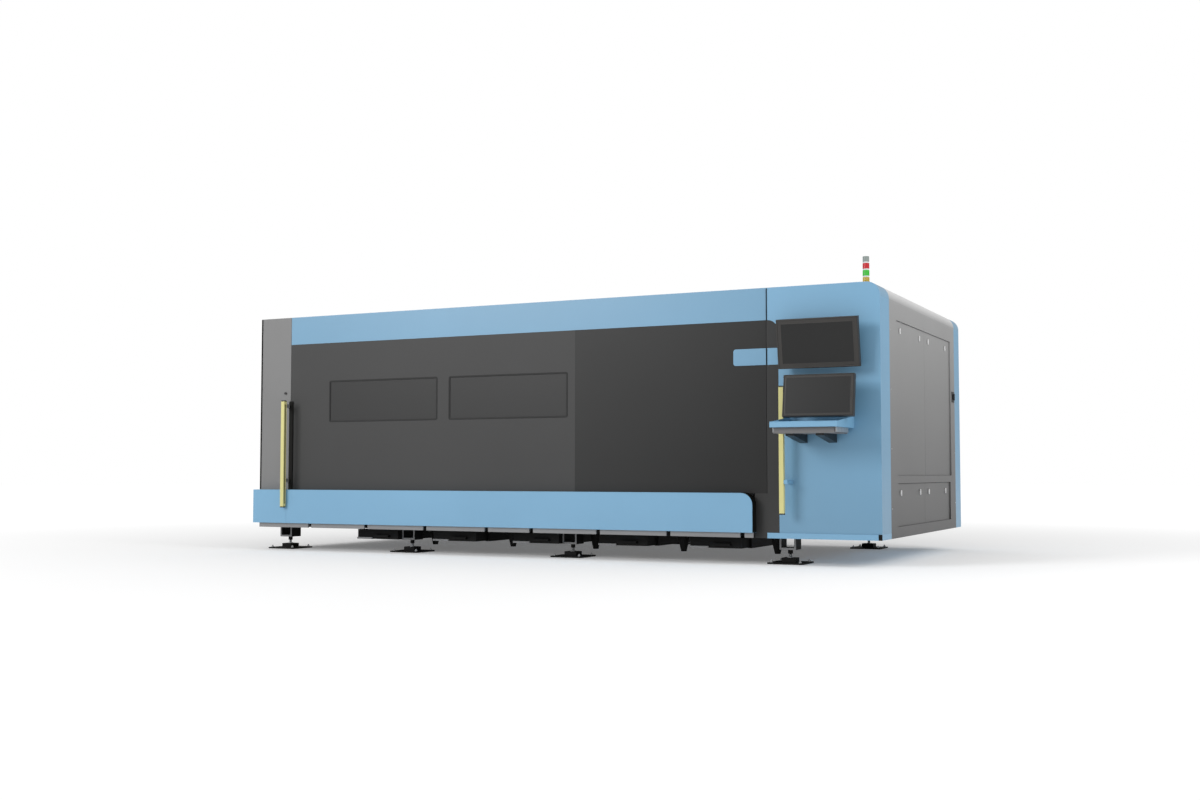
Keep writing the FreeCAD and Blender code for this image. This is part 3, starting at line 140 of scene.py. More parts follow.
def boxes(lows, highs, cut):
    """Many boxes at once with their edges cut at 45 degrees.

    Each corner gives three points, one a face: the half size along that face's axis, and the half size
    less the cut along the other two.
    """
    lows, highs = np.atleast_2d(lows).astype(float), np.atleast_2d(highs).astype(float)
    half, centre = (highs - lows) / 2, (highs + lows) / 2
    most = 0.9 * half.min(1)
    reach = half[:, None, None] - np.minimum(cut, most)[:, None, None, None] * (1 - np.eye(3))
    points = centre[:, None, None] + SIGNS[:, None] * reach
    return points.reshape(-1, 3), repeated((BOX_QUADS, BOX_TRIS), len(lows), 3 * len(SIGNS))


def turns(count):
    """Evenly spaced angles round a full turn."""
    return 2 * np.pi * np.arange(count) / count


def mirrored(half):
    """A section symmetrical about its middle, from the points of its left half, listed from the foot up."""
    return [(-x, y) for x, y in half] + [(x, y) for x, y in reversed(half)]


def round_bar(radius):
    return [(radius * math.cos(a), radius * math.sin(a)) for a in turns(8)]


def turned(profile, spots, along, sides=24):
    """A profile of (radius, height) rows turned about an axis and set at each spot, its two ends capped.

    Point = spot + height * axis + radius * (cos t * u + sin t * v), where u and v stand square to the axis.
    """
    profile, spots = np.asarray(profile, float), np.atleast_2d(spots).astype(float)
    axis = np.asarray(along, float) / np.linalg.norm(along)
    u = np.cross(axis, [0, 0, 1] if abs(axis[2]) < 0.9 else [1, 0, 0])
    u /= np.linalg.norm(u)
    v = np.cross(axis, u)
    t = turns(sides)
    ring = np.cos(t)[:, None] * u + np.sin(t)[:, None] * v
    shape = profile[:, 0, None, None] * ring[None] + profile[:, 1, None, None] * axis
    points = spots[:, None, None, :] + shape[None]
    rows, columns = np.arange(len(profile) - 1)[:, None], np.arange(sides)[None]
    a, b = rows * sides + columns, rows * sides + (columns + 1) % sides
    quads = np.stack([a, b, b + sides, a + sides], -1).reshape(-1, 4)
    caps = np.array([np.arange(sides)[::-1], (len(profile) - 1) * sides + np.arange(sides)])
    return points.reshape(-1, 3), repeated((quads, caps), len(spots), sides * len(profile))


def swept(section, path, up, closed=False):
    """A closed section carried along a path: point = path + s * side + h * up, side square to path and up.

    At a corner the side offset grows by one over the cosine of half the turn, so the walls keep their width.
    The section is put in anticlockwise order first, which makes the faces point outward.
    """
    section, path, up = np.asarray(section, float), np.asarray(path, float), np.asarray(up, float)
    ahead_of = np.roll(section, -1, 0)
    if np.sum(section[:, 0] * ahead_of[:, 1] - ahead_of[:, 0] * section[:, 1]) < 0:
        section = section[::-1]
    back = path - np.roll(path, 1, 0)
    ahead = np.roll(path, -1, 0) - path
    if not closed:
        back[0], ahead[-1] = ahead[0], back[-1]
    back /= np.linalg.norm(back, axis=1)[:, None]
    ahead /= np.linalg.norm(ahead, axis=1)[:, None]
    middle = back + ahead
    middle /= np.linalg.norm(middle, axis=1)[:, None]
    side = np.cross(middle, up) / np.einsum("ij,ij->i", middle, ahead)[:, None]
    points = path[:, None] + section[None, :, :1] * side[:, None] + section[None, :, 1:] * up
    count, around = len(path), len(section)
    rows = np.arange(count if closed else count - 1)[:, None]
    columns = np.arange(around)[None]
    a, b = rows * around + columns, rows * around + (columns + 1) % around
    after = (rows + 1) % count
    c, d = after * around + (columns + 1) % around, after * around + columns
    faces = [np.stack([a, d, c, b], -1).reshape(-1, 4)]
    if not closed:
        faces.append(np.array([np.arange(around), (count - 1) * around + np.arange(around)[::-1]]))
    return points.reshape(-1, 3), faces


def joined(*parts):
    """Several (points, faces) pairs as one."""
    points, faces, start = [], [], 0
    for some, blocks in parts:
        points.append(some)
        faces += [block + start for block in blocks]
        start += len(some)
    return np.concatenate(points), faces


def round_rectangle(low, high, radius, steps=6):
    """Points round a rectangle with quarter circles at its corners, anticlockwise, as two columns."""
    (x0, y0), (x1, y1) = np.add(low, radius), np.subtract(high, radius)
    quarter = np.linspace(0, np.pi / 2, steps + 1)
    arcs = []
    for k, centre in enumerate(((x1, y1), (x0, y1), (x0, y0), (x1, y0))):
        t = quarter + k * np.pi / 2
        arcs.append(centre + radius * np.stack([np.cos(t), np.sin(t)], -1))
    return np.concatenate(arcs)


def lay(flat, plane, level):
    """Two columns of points as three: in the XZ plane at a Y, the YZ plane at an X or the XY plane at a Z."""
    flat = np.asarray(flat, float)
    made = np.full((len(flat), 3), float(level))
    made[:, ["XYZ".index(letter) for letter in plane]] = flat
    return made


# ---------------------------------------------------------------- finishes


def node(tree, kind, inputs=(), **settings):
    """Adds one shader node; inputs maps a socket to a constant or to the output that feeds it."""
    made = tree.nodes.new(kind)
    for name, value in settings.items():
        setattr(made, name, value)
    for key, value in dict(inputs).items():
        if isinstance(value, bpy.types.NodeSocket):
            tree.links.new(value, made.inputs[key])
        else:
            made.inputs[key].default_value = value
    return made


def maths(tree, operation, *values):
    """The result of a math node that takes the values in order."""
    return node(tree, "ShaderNodeMath", dict(enumerate(values)), operation=operation).outputs[0]


def ranged(tree, value, low, high, from_low=0.0, from_high=1.0):
    """A value mapped from one range to another and held inside it."""
    return node(tree, "ShaderNodeMapRange", {"Value": value, "From Min": from_low, "From Max": from_high,
                                             "To Min": low, "To Max": high}).outputs["Result"]


def blend(tree, share, first, last):
    """A colour between two ends, each three numbers or the output that feeds it."""
    ends = [end if isinstance(end, bpy.types.NodeSocket) else (*end, 1) for end in (first, last)]
    return node(tree, "ShaderNodeMix", {"Factor": share, "A": ends[0], "B": ends[1]},
                data_type="RGBA").outputs["Result"]


def noise(tree, vector, scale, detail=2.0):
    made = node(tree, "ShaderNodeTexNoise", {"Vector": vector, "Scale": scale, "Detail": detail})
    return made.outputs["Fac"]


def scaled(tree, colour, share):
    return node(tree, "ShaderNodeVectorMath", {0: colour, "Scale": share}, operation="SCALE").outputs[0]


def place_of(tree):
    """The point's place on the machine."""
    return node(tree, "ShaderNodeTexCoord").outputs["Object"]


def axes(tree):
    """The same place as its X, Y and Z outputs."""
    return node(tree, "ShaderNodeSeparateXYZ", {0: place_of(tree)}).outputs


def effect(name, settings):
    """An empty node group: a colour and the settings go in, and a colour, a roughness and a height come out.

    Returns its tree, its input sockets and a function that ends it with the three outputs.
    """
    kinds = {float: "NodeSocketFloat", tuple: "NodeSocketVector"}
    tree = bpy.data.node_groups.new(name, "ShaderNodeTree")
    colour = tree.interface.new_socket(name="Colour", in_out="INPUT", socket_type="NodeSocketColor")
    colour.default_value = (0.5, 0.5, 0.5, 1)
    for label, value in settings.items():
        socket = tree.interface.new_socket(name=label, in_out="INPUT", socket_type=kinds[type(value)])
        socket.default_value = value
    for label, kind in (("Colour", "Color"), ("Roughness", "Float"), ("Height", "Float")):
        tree.interface.new_socket(name=label, in_out="OUTPUT", socket_type="NodeSocket" + kind)
    given = tree.nodes.new("NodeGroupInput").outputs
    wanted = tree.nodes.new("NodeGroupOutput").inputs

    def finish(*results):
        for socket, taken in zip(results, wanted):
            tree.links.new(socket, taken)

    return tree, given, finish


LOW_MIX_GREY = (0.2, 0.19, 0.18)


def coat_effect():
    """Powder coat: a fine peel, slow waves of the sheet, faint mottling, and lower down patches mixed toward a mid
    grey.
    """
    tree, given, finish = effect("Powder coat", {"Mottle": 0.03, "Gloss low": 0.38, "Gloss high": 0.46,
                                                 "Peel scale": 260.0, "Dust": 0.1})
    place = place_of(tree)
    slow = noise(tree, place, 1.3, 3.0)
    fine = noise(tree, place, given["Peel scale"], 1.0)
    wave = noise(tree, place, 1.1, 0.0)
    low = maths(tree, "SUBTRACT", 1.0, given["Mottle"])
    high = maths(tree, "ADD", 1.0, given["Mottle"])
    tinted = scaled(tree, given["Colour"], ranged(tree, slow, low, high, 0.3, 0.7))
    level = node(tree, "ShaderNodeSeparateXYZ", {0: place}).outputs["Z"]
    # The share mixed toward the grey grows toward the bottom and varies in patches.
    low_share = ranged(tree, level, 0.0, given["Dust"], 0.75, 0.0)
    low_mixed = blend(tree, maths(tree, "MULTIPLY", low_share, slow), tinted, LOW_MIX_GREY)
    gloss = ranged(tree, fine, given["Gloss low"], given["Gloss high"])
    finish(low_mixed, gloss, maths(tree, "MULTIPLY_ADD", fine, 0.06, wave))
    return tree


def brushed_effect():
    """Ground metal: long fine scratches along X, Y or Z by the stretch, with stains and worn patches."""
    tree, given, finish = effect("Ground metal", {"Stretch": (8.0, 8.0, 300.0), "Gloss low": 0.25,
                                                  "Gloss high": 0.45})
    place = place_of(tree)
    pulled = node(tree, "ShaderNodeVectorMath", {0: place, 1: given["Stretch"]}, operation="MULTIPLY")
    lines = noise(tree, pulled.outputs[0], 1.0, 4.0)
    stain = noise(tree, place, 6.0, 4.0)
    shade = ranged(tree, maths(tree, "MULTIPLY", lines, stain), 0.75, 1.15, 0.1, 0.5)
    gloss = ranged(tree, lines, given["Gloss low"], given["Gloss high"])
    finish(scaled(tree, given["Colour"], shade), gloss, lines)
    return tree


def moulded_effect():
    """Moulded plastic: a fine pebble grain and slightly uneven gloss."""
    tree, given, finish = effect("Moulded plastic", {"Grain": 900.0, "Gloss low": 0.4, "Gloss high": 0.55})
    place = place_of(tree)
    grain = node(tree, "ShaderNodeTexVoronoi", {"Vector": place, "Scale": given["Grain"]}).outputs["Distance"]
    cloud = noise(tree, place, 14.0, 2.0)
    shade = ranged(tree, cloud, 0.93, 1.07, 0.25, 0.75)
    gloss = ranged(tree, cloud, given["Gloss low"], given["Gloss high"])
    finish(scaled(tree, given["Colour"], shade), gloss, grain)
    return tree


EFFECTS = {}


def surface(name, kind, colour, bump=0.0002, metallic=0.0, coat=0.0, specular=0.5, mix=None, **values):
    """A material that takes its colour, gloss and grain from one of the effects.

    mix is a function that gets the tree and gives another colour for the effect, one that changes with the
    place on the machine.
    """
    made = bpy.data.materials.new(name)
    made.use_nodes = True
    tree = made.node_tree
    shader = tree.nodes["Principled BSDF"]
    for label, value in (("Metallic", metallic), ("Coat Weight", coat), ("Coat Roughness", 0.22),
                         ("Specular IOR Level", specular)):
        shader.inputs[label].default_value = value
    source = node(tree, "ShaderNodeGroup", node_tree=EFFECTS[kind])
    source.inputs["Colour"].default_value = (*colour, 1)
    for label, value in values.items():
        source.inputs[label.replace("_", " ").capitalize()].default_value = value
    if mix:
        tree.links.new(mix(tree), source.inputs["Colour"])
    height = source.outputs["Height"]
    raised = node(tree, "ShaderNodeBump", {"Strength": 0.35, "Distance": bump, "Height": height})
    tree.links.new(source.outputs["Colour"], shader.inputs["Base Color"])
    tree.links.new(source.outputs["Roughness"], shader.inputs["Roughness"])
    tree.links.new(raised.outputs["Normal"], shader.inputs["Normal"])
    return made


def by_place(axis, first, *steps):
    """A colour that steps along one axis of the machine: steps are (place, colour) rows in order."""
    def build(tree):
        value = axes(tree)[axis]
        colour = first
        for limit, shade in steps:
            colour = blend(tree, maths(tree, "GREATER_THAN", value, limit), colour, shade)
        return colour
    return build


def fade(axis, low, high, first, last):
    """A colour that changes smoothly from first at low to last at high along one axis."""
    def build(tree):
        return blend(tree, ranged(tree, axes(tree)[axis], 0.0, 1.0, low, high), first, last)
    return build


def door_sheets(split, left, upper, lower):
    """The door's two sheets: one even colour left of the split, and right of it a slow diagonal change that is a
    painted reflection, lighter at the upper left and darker toward the lower right.
    """
    before, after = 1.8, 1.1

    def build(tree):
        spot = axes(tree)
        slope = maths(tree, "MULTIPLY_ADD", spot["Z"], -1.0, spot["X"])
        right = blend(tree, ranged(tree, slope, 0.0, 1.0, split - before, split + after), upper, lower)
        return blend(tree, maths(tree, "GREATER_THAN", spot["X"], split), left, right)
    return build


def bracket_paint(p):
    """Brackets painted like the sheet behind them, except the dark ones of the console and displays."""
    console_bottom = 0.9

    def build(tree):
        spot = axes(tree)
        on_console = maths(tree, "GREATER_THAN", spot["Z"], console_bottom)
        on_right = maths(tree, "GREATER_THAN", spot["X"], 0.0)
        return blend(tree, on_right, p.column_grey, blend(tree, on_console, p.blue, p.frame_black))
    return build


def roof_paint(p):
    """Blue, except the rounded edge over the right side's grey frame: grey like that frame, paling toward the top
    as a painted highlight.
    """
    low, high = corners("side_frame")
    edge_width, highlight_rise, pale = 0.112, 0.09, (0.9, 0.9, 0.9)

    def build(tree):
        spot = axes(tree)
        over = 1.0
        for axis, limit, way in (("X", high[0] - edge_width, "GREATER_THAN"), ("Y", low[1], "GREATER_THAN"),
                                 ("Y", high[1], "LESS_THAN")):
            over = maths(tree, "MULTIPLY", maths(tree, way, spot[axis], limit), over)
        # Painted highlight: over the rounded edge the grey pales toward near-white with height.
        rise = ranged(tree, spot["Z"], 0.0, 1.0, high[2], high[2] + highlight_rise)
        return blend(tree, over, p.blue, blend(tree, rise, p.side_grey, pale))
    return build


# ---------------------------------------------------------------- settings


def colour_setting(name, description, default):
    return FloatVectorProperty(name=name, description=description, default=default, size=3, min=0.0, max=1.0,
                               subtype="COLOR")


def length_setting(name, description, default):
    return FloatProperty(name=name, description=description, default=default, min=0.0, unit="LENGTH")


class PaintSettings(bpy.types.PropertyGroup):
    """Colours of the painted sheets and the plastics."""

    blue: colour_setting("Blue", "Bands, cabinet front and corners", (0.170, 0.365, 0.545))
    charcoal: colour_setting("Charcoal", "Left sheet of the door", (0.046, 0.046, 0.046))
    deep_charcoal: colour_setting("Deep charcoal", "Right sheet of the door and the trim beside it",
                                  (0.029, 0.029, 0.029))
    # Painted reflection: the door's right sheet fades from the deep charcoal at its upper left to this darker
    # charcoal at its lower right.
    shaded_charcoal: colour_setting("Low charcoal", "Right sheet of the door at its lower right",
                                 (0.010, 0.010, 0.010))
    column_grey: colour_setting("Column grey", "Left column", (0.176, 0.176, 0.176))
    side_grey: colour_setting("Side grey", "Side frame and service covers, at the top", (0.31, 0.31, 0.31))
    # Painted shade: the side frame and covers darken from the side grey at the top to this grey at the bottom.
    shaded_side_grey: colour_setting("Low side grey", "Side frame and service covers, at the bottom",
                             (0.052, 0.052, 0.053))
    strip_grey: colour_setting("Strip grey", "Strip under the front band", (0.22, 0.22, 0.225))
    frame_black: colour_setting("Frame black", "Bed, brackets and feet", (0.006, 0.006, 0.006))
    curtain_yellow: colour_setting("Curtain yellow", "Light curtain posts", (0.62, 0.58, 0.24))
    bezel: colour_setting("Bezel", "Display housings", (0.021, 0.019, 0.017))


class DetailSettings(bpy.types.PropertyGroup):
    """Sizes of the small fittings."""

    screw_radius: length_setting("Screw head radius", "Button heads on the sheets", 0.007)
    screw_pitch: length_setting("Screw spacing", "Along the rear and side sheets", 0.42)
    seal_width: length_setting("Seal width", "Rubber lips round the windows", 0.014)
    key_pitch: length_setting("Key pitch", "Centre to centre on the keyboard", 0.019)
    louvre_pitch: length_setting("Louvre pitch", "Between the slats of the rear vents", 0.022)
    seam_rows: IntProperty(name="Roof ribs", description="Folded seams across the roof", default=6, min=0)


class StageSettings(bpy.types.PropertyGroup):
    """Floor, camera and lights."""

    eye: FloatVectorProperty(name="Camera place", description="From the cabinet's front right foot",
                             size=3, default=(2.459, -9.55, 0.688), subtype="TRANSLATION", unit="LENGTH")
    turn: FloatProperty(name="Camera turn", description="To the left of the machine's depth axis",
                        default=math.radians(26.239), unit="ROTATION")
    rise: FloatProperty(name="Camera rise", description="Above the horizon", default=math.radians(3.06),
                        unit="ROTATION")
    lens: FloatProperty(name="Lens", description="Focal length in millimetres on a 36 mm sensor", default=40.4)
    key: FloatProperty(name="Key light", description="Power of the large light at the front left, in watts",
                       default=2300.0, min=0.0)
    fill: FloatProperty(name="Fill light", description="Power of the light on the right side, in watts",
                        default=260.0, min=0.0)
    sky: FloatProperty(name="Room light", description="Strength of the even light from all round", default=0.50,
                       min=0.0)


def paint():
    return bpy.context.scene.laser_paint


def details():
    return bpy.context.scene.laser_details


DOOR_SPLIT = 2.472
FINISHES = {}


COVERS = ("upper_front", "upper_rear", "lower_front", "lower_rear")


class LASER_OT_finishes(bpy.types.Operator):
    """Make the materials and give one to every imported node"""

    bl_idname = "laser_cutter.finishes"
    bl_label = "Finishes"

    def execute(self, context):
        EFFECTS.update(coat=coat_effect(), ground=brushed_effect(), moulded=moulded_effect())
        p = paint()
        split = corners("cabinet_front")[1][0] - DOOR_SPLIT
        lens_low, lens_high = corners("tower_lenses")[0][2], corners("tower_lenses")[1][2]
        cover_face = corners("upper_front_cover")[1][0]
        band_low = corners("drawer_front")[0][2]
        # Darker copies of the blue, as painted shade: one for the cabinet front's foot, one for the whole top
        # band.
        shaded_low_blue, shaded_top_blue = (tuple(share * c for c in p.blue) for share in (0.80, 0.86))
        pale, cap, highlight_white = (0.72, 0.73, 0.72), (0.27, 0.31, 0.29), (0.92, 0.92, 0.92)
        red, green, amber = (0.62, 0.02, 0.03), (0.06, 0.58, 0.05), (0.62, 0.42, 0.06)
        matt = {"gloss_low": 0.42, "gloss_high": 0.5, "specular": 0.25}
        satin = {"gloss_low": 0.3, "dust": 0.0, "specular": 0.25}
        clear = {"gloss_low": 0.15, "gloss_high": 0.25}
        made = {
            "blue": surface("Blue coat", "coat", p.blue, coat=0.15),
            # Painted shade: the cabinet front darkens from the blue at the top to a darker copy of it at the
            # bottom.
            "cabinet": surface("Cabinet coat", "coat", p.blue, coat=0.15,
                               mix=fade("Z", 0.3, 1.9, shaded_low_blue, p.blue)),
            # Painted shade: the top band is a darker copy of the same blue paint.
            "band top": surface("Top band coat", "coat", shaded_top_blue, coat=0.15),
            # The roof's rounded right edge carries a painted highlight, set in roof_paint.
            "roof": surface("Roof coat", "coat", p.blue, coat=0.5, mix=roof_paint(p)),
            # The right sheet's diagonal fade is a painted reflection, set in door_sheets.
            "charcoal": surface("Charcoal coat", "coat", p.charcoal, **matt,
                                mix=door_sheets(split, p.charcoal, p.deep_charcoal, p.shaded_charcoal)),
            "trim": surface("Deep charcoal coat", "coat", p.deep_charcoal, **matt),
            "column": surface("Column grey coat", "coat", p.column_grey),
            # Painted shade: darker toward the bottom of the side.
            "side": surface("Side grey coat", "coat", p.side_grey,
                            mix=fade("Z", 0.2, 1.95, p.shaded_side_grey, p.side_grey)),
            "strip": surface("Strip grey coat", "coat", p.strip_grey),
            "band": surface("Band coat", "coat", p.blue, coat=0.15,
                            mix=by_place("Z", p.strip_grey, (band_low, p.blue))),
            "drawer": surface("Drawer grey coat", "coat", (0.14, 0.135, 0.135)),
            "bracket": surface("Bracket coat", "coat", p.frame_black, mix=bracket_paint(p)),
            "frame": surface("Frame paint", "coat", p.frame_black, gloss_low=0.5, gloss_high=0.65, mottle=0.18,
                             peel_scale=120.0, dust=0.03, specular=0.12),
            "steel": surface("Ground steel", "ground", (0.5, 0.51, 0.53), metallic=0.9, bump=0.00005),
            "zinc": surface("Zinc plate", "ground", (0.6, 0.61, 0.62), metallic=0.85, bump=0.00005,
                            stretch=(30.0, 30.0, 30.0), gloss_low=0.35, gloss_high=0.5),
            "window": surface("Tinted sheet", "coat", (0.034, 0.034, 0.034), **satin, gloss_high=0.34,
                              mottle=0.015, bump=0.00002),
            "curtain": surface("Curtain yellow coat", "coat", p.curtain_yellow, gloss_low=0.3,
                               gloss_high=0.36),
            "black": surface("Black plastic", "moulded", (0.014, 0.014, 0.015)),
            "rubber": surface("Black rubber", "moulded", (0.005, 0.005, 0.004), gloss_low=0.6, gloss_high=0.75,
                              specular=0.15),
            "bezel": surface("Display housing", "moulded", p.bezel, bump=0.0001),
            "screen": surface("Display glass", "coat", (0.017, 0.017, 0.017), **satin, gloss_high=0.33,
                              mottle=0.02, bump=0.00001),
            "tower": surface("Pale plastic", "moulded", pale,
                             mix=by_place("Z", pale, (lens_high + 0.011, cap))),
            "grey": surface("Machine grey coat", "coat", (0.33, 0.33, 0.335)),
            "seal": surface("Window seal", "moulded", (0.030, 0.030, 0.030), gloss_low=0.5, gloss_high=0.6,
                            specular=0.15),
            # The optic windows are real; their dark olive is painted shade, the colour of the posts' shaded yellow
            # side.
            "optic": surface("Optic strip", "moulded", (0.17, 0.16, 0.07), **clear),
            # Painted highlight: past the covers' face the latches are near-white, with the glint on them painted
            # into their colour.
            "latch": surface("Latch coat", "coat", highlight_white, gloss_low=0.25, gloss_high=0.32, mottle=0.01,
                             mix=by_place("X", p.side_grey, (cover_face + 0.0046, highlight_white))),
            "white": surface("White coat", "coat", (0.82, 0.82, 0.82)),
            "lens": surface("Signal lenses", "moulded", red, **clear, coat=0.5,
                            mix=by_place("Z", amber, (lens_low + 0.046, green), (lens_low + 0.099, red))),
            "brass": surface("Copper alloy", "ground", (0.78, 0.42, 0.22), metallic=0.95),
            "galvanised": surface("Galvanised sheet", "ground", (0.42, 0.43, 0.44), metallic=0.7,
                                  stretch=(14.0, 14.0, 14.0), gloss_low=0.4, gloss_high=0.6),
        }
        FINISHES.update(made)
        wanted = {
            "band": ["left_band"],
            "roof": ["roof_panels"],
            "cabinet": ["cabinet_front"],
            "band top": ["door_band"],
            "blue": ["rear_corner", "drawer_front", "console_tray", "cabinet_floor"],
            "charcoal": ["door_skin"],
            "trim": ["cabinet_trim", "carriage"],
            "column": ["left_column", "body_panels"],
            "side": ["side_frame"] + [tag + "_cover" for tag in COVERS],
            "strip": ["drawer_skirt"],
            "drawer": ["keyboard_drawer"],
            "bracket": ["support_brackets"],
            "frame": ["levelling_feet", "bed_frame", "door_frame", "table_frame"]
            + [f"scrap_drawer_{k}" for k in range(1, 6)],
            "steel": ["guide_rails", "runner_middles"],
            "galvanised": ["slats"],
            "window": ["door_windows"],
            "curtain": ["light_curtains"],
            "black": ["keyboard", "mouse", "isolator_plate", "isolator_knob", "cable_glands"],
            "bezel": ["upper_monitor", "lower_monitor"],
            "screen": ["upper_monitor_screen", "lower_monitor_screen"],
            "tower": ["tower_body"],
            "lens": ["tower_lenses"],
            "zinc": ["extraction_collar", "cutting_head"],
            "grey": ["gantry_beam", "electrical_rack"],
            "white": ["laser_source"],
            "latch": [n for n in NODES if n.endswith("_latch")],
            "brass": ["nozzle"],
        }
        for finish, names in wanted.items():
            for name in names:
                mesh = NODES[name].data
                mesh.materials.clear()
                mesh.materials.append(made[finish])
        left = sorted(n for n in NODES if n not in sum(wanted.values(), []))
        if left:
            raise RuntimeError(f"no finish for {left}")
        return {"FINISHED"}


# ---------------------------------------------------------------- stage


def area_light(name, place, target, size, power):
    """A square light at a place, turned to face a target."""
    data = bpy.data.lights.new(name, "AREA")
    data.shape = "RECTANGLE"
    data.size = data.size_y = size
    data.energy = power
    lamp = bpy.data.objects.new(name, data)
    lamp.location = place
    aim = np.array(target, float) - np.array(place, float)
    lamp.rotation_euler = Vector(aim).to_track_quat("-Z", "Y").to_euler()
    bpy.context.scene.collection.objects.link(lamp)


def floor_material():
    """Pale near the machine; away from it the paint gives way to light, so that no horizon shows."""
    made = bpy.data.materials.new("Pale floor")
    made.use_nodes = True
    tree = made.node_tree
    shader = tree.nodes["Principled BSDF"]
    place = place_of(tree)
    near = blend(tree, noise(tree, place, 0.6), (0.90, 0.90, 0.90), (0.93, 0.93, 0.93))
    away = node(tree, "ShaderNodeVectorMath", {0: place}, operation="LENGTH").outputs["Value"]
    far = ranged(tree, away, 0.0, 1.0, 3.5, 9.0)
    tree.links.new(blend(tree, far, near, (0.02, 0.02, 0.02)), shader.inputs["Base Color"])
    tree.links.new(blend(tree, far, (0.15, 0.15, 0.15), (1, 1, 1)), shader.inputs["Emission Color"])
    for label, value in (("Roughness", 0.9), ("Specular IOR Level", 0.1), ("Emission Strength", 1.0)):
        shader.inputs[label].default_value = value
    return made


def studio_world(sky):
    """White to the camera; as light it is weaker near the floor than overhead."""
    world = bpy.data.worlds.new("Studio")
    world.use_nodes = True
    tree = world.node_tree
    back = tree.nodes["Background"]
    seen = node(tree, "ShaderNodeLightPath").outputs["Is Camera Ray"]
    up = node(tree, "ShaderNodeSeparateXYZ", {0: node(tree, "ShaderNodeTexCoord").outputs["Generated"]})
    lit = ranged(tree, up.outputs["Z"], 0.75 * sky, 1.35 * sky, -0.1, 0.9)
    strength = node(tree, "ShaderNodeMix", {"Factor": seen, "A": lit, "B": 1.0}).outputs["Result"]
    back.inputs["Color"].default_value = (1, 1, 1, 1)
    tree.links.new(strength, back.inputs["Strength"])
    return world


class LASER_OT_stage(bpy.types.Operator):
    """Lay the floor, light the room and set the camera"""

    bl_idname = "laser_cutter.stage"
    bl_label = "Stage"

    def execute(self, context):
        scene = context.scene
        s = scene.laser_stage
        radius, sides, drop = 60, 96, 0.0006
        floor = bpy.data.meshes.new("floor")
        t = turns(sides)
        rim = lay(radius * np.stack([np.cos(t), np.sin(t)], -1), "XY", -drop)
        floor.from_pydata(rim.tolist(), [], [list(range(sides))])
        floor.materials.append(floor_material())
        plane = bpy.data.objects.new("floor", floor)
        scene.collection.objects.link(plane)
        scene.world = studio_world(s.sky)
        area_light("Key light", (-11.0, -19.0, 9.0), (0.3, -1.2, 0.9), 8.0, s.key)
        area_light("Side light", (9.5, -2.5, 6.0), (2.8, 0.2, 1.0), 4.0, s.fill)
        camera = bpy.data.cameras.new("camera")
        camera.lens = s.lens
        camera.sensor_width = 36.0
        camera.clip_start, camera.clip_end = 0.05, 300.0
        eye = bpy.data.objects.new("camera", camera)
        front_low, front_high = corners("cabinet_front")
        eye.location = (front_high[0] + s.eye[0], front_low[1] + s.eye[1], s.eye[2])
        eye.rotation_euler = (math.pi / 2 + s.rise, 0, s.turn)
        scene.collection.objects.link(eye)
        scene.camera = eye
        scene.view_settings.view_transform = "Standard"
        return {"FINISHED"}


# ---------------------------------------------------------------- front


def middles(low, high, pitch):
    """Evenly spaced places between two ends, about one pitch apart, half a space in from each end."""
    count = max(1, round((high - low) / pitch))
    return low + (high - low) * (np.arange(count) + 0.5) / count


def button_heads(name, spots, along, radius=None):
    """Button-head screws: a domed turned head with a hexagon socket sunk in its top."""
    r = radius or details().screw_radius
    dome = [(r, -0.0005), (r, 0.0008), (0.93 * r, 0.0022), (0.75 * r, 0.0034), (0.5 * r, 0.0040),
            (0.42 * r, 0.0040), (0.42 * r, 0.0018)]
    new_piece(name, turned(dome, spots, along, sides=12), "machine", "zinc", smooth=40)


class LASER_OT_door_trim(bpy.types.Operator):
    """Rubber lips round the two windows and the door's edge seals"""

    bl_idname = "laser_cutter.door_trim"
    bl_label = "Door trim"

    def execute(self, context):
        w = details().seal_width
        lows, highs = corners("door_windows")
        skin_low, skin_high = corners("door_skin")
        verts = np.array([v.co for v in NODES["door_windows"].data.vertices])
        middle = (lows[0] + highs[0]) / 2
        lap = 0.02
        lip = mirrored([(w / 2, -0.0005), (w / 2, 0.0012), (w / 4, 0.0022)])
        parts = []
        for side in (verts[verts[:, 0] < middle], verts[verts[:, 0] > middle]):
            ring = round_rectangle(side.min(0)[[0, 2]] + lap, side.max(0)[[0, 2]] - lap, 0.012)
            parts.append(swept(lip, lay(ring, "XZ", skin_low[1]), (0, -1, 0), closed=True))
        new_piece("window_seals", joined(*parts), "door", "seal", smooth=35)
        front, out, inward = skin_low[1], 0.001, 0.010
        seal = boxes([(skin_low[0] - out, front + 0.004, skin_low[2]),
                      (skin_high[0] - inward, front + 0.004, skin_low[2])],
                     [(skin_low[0] + inward, front + 0.02, skin_high[2]),
                      (skin_high[0] + out, front + 0.02, skin_high[2])], 0.002)
        new_piece("door_edge_seals", seal, "door", "rubber")
        return {"FINISHED"}


class LASER_OT_column_trim(bpy.types.Operator):
    """The dark edge of the left column and a black strip over the door's joint, from the band up to the light
    curtain post's top
    """

    bl_idname = "laser_cutter.column_trim"
    bl_label = "Column trim"

    def execute(self, context):
        low, high = corners("left_column")
        post_top = corners("light_curtains")[1][2]
        band_top = corners("left_band")[1][2]
        front, left, right = low[1], low[0], high[0]
        edge = boxes((left - 0.001, front - 0.004, band_top), (left + 0.013, front + 0.03, high[2] - 0.002), 0.002)
        new_piece("column_edge", edge, "machine", "rubber")
        # A black strip over the column's joint with the door, reaching from the band up to the light curtain
        # post's top.
        foot = band_top - 0.01
        joint_strip = boxes([(right - 0.009, front - 0.010, foot), (right - 0.009, front - 0.004, foot)],
                      [(right + 0.032, front - 0.001, post_top), (right - 0.001, front + 0.001, post_top)], 0.001)
        new_piece("door_joint_black_strip", joint_strip, "machine", "rubber")
        return {"FINISHED"}


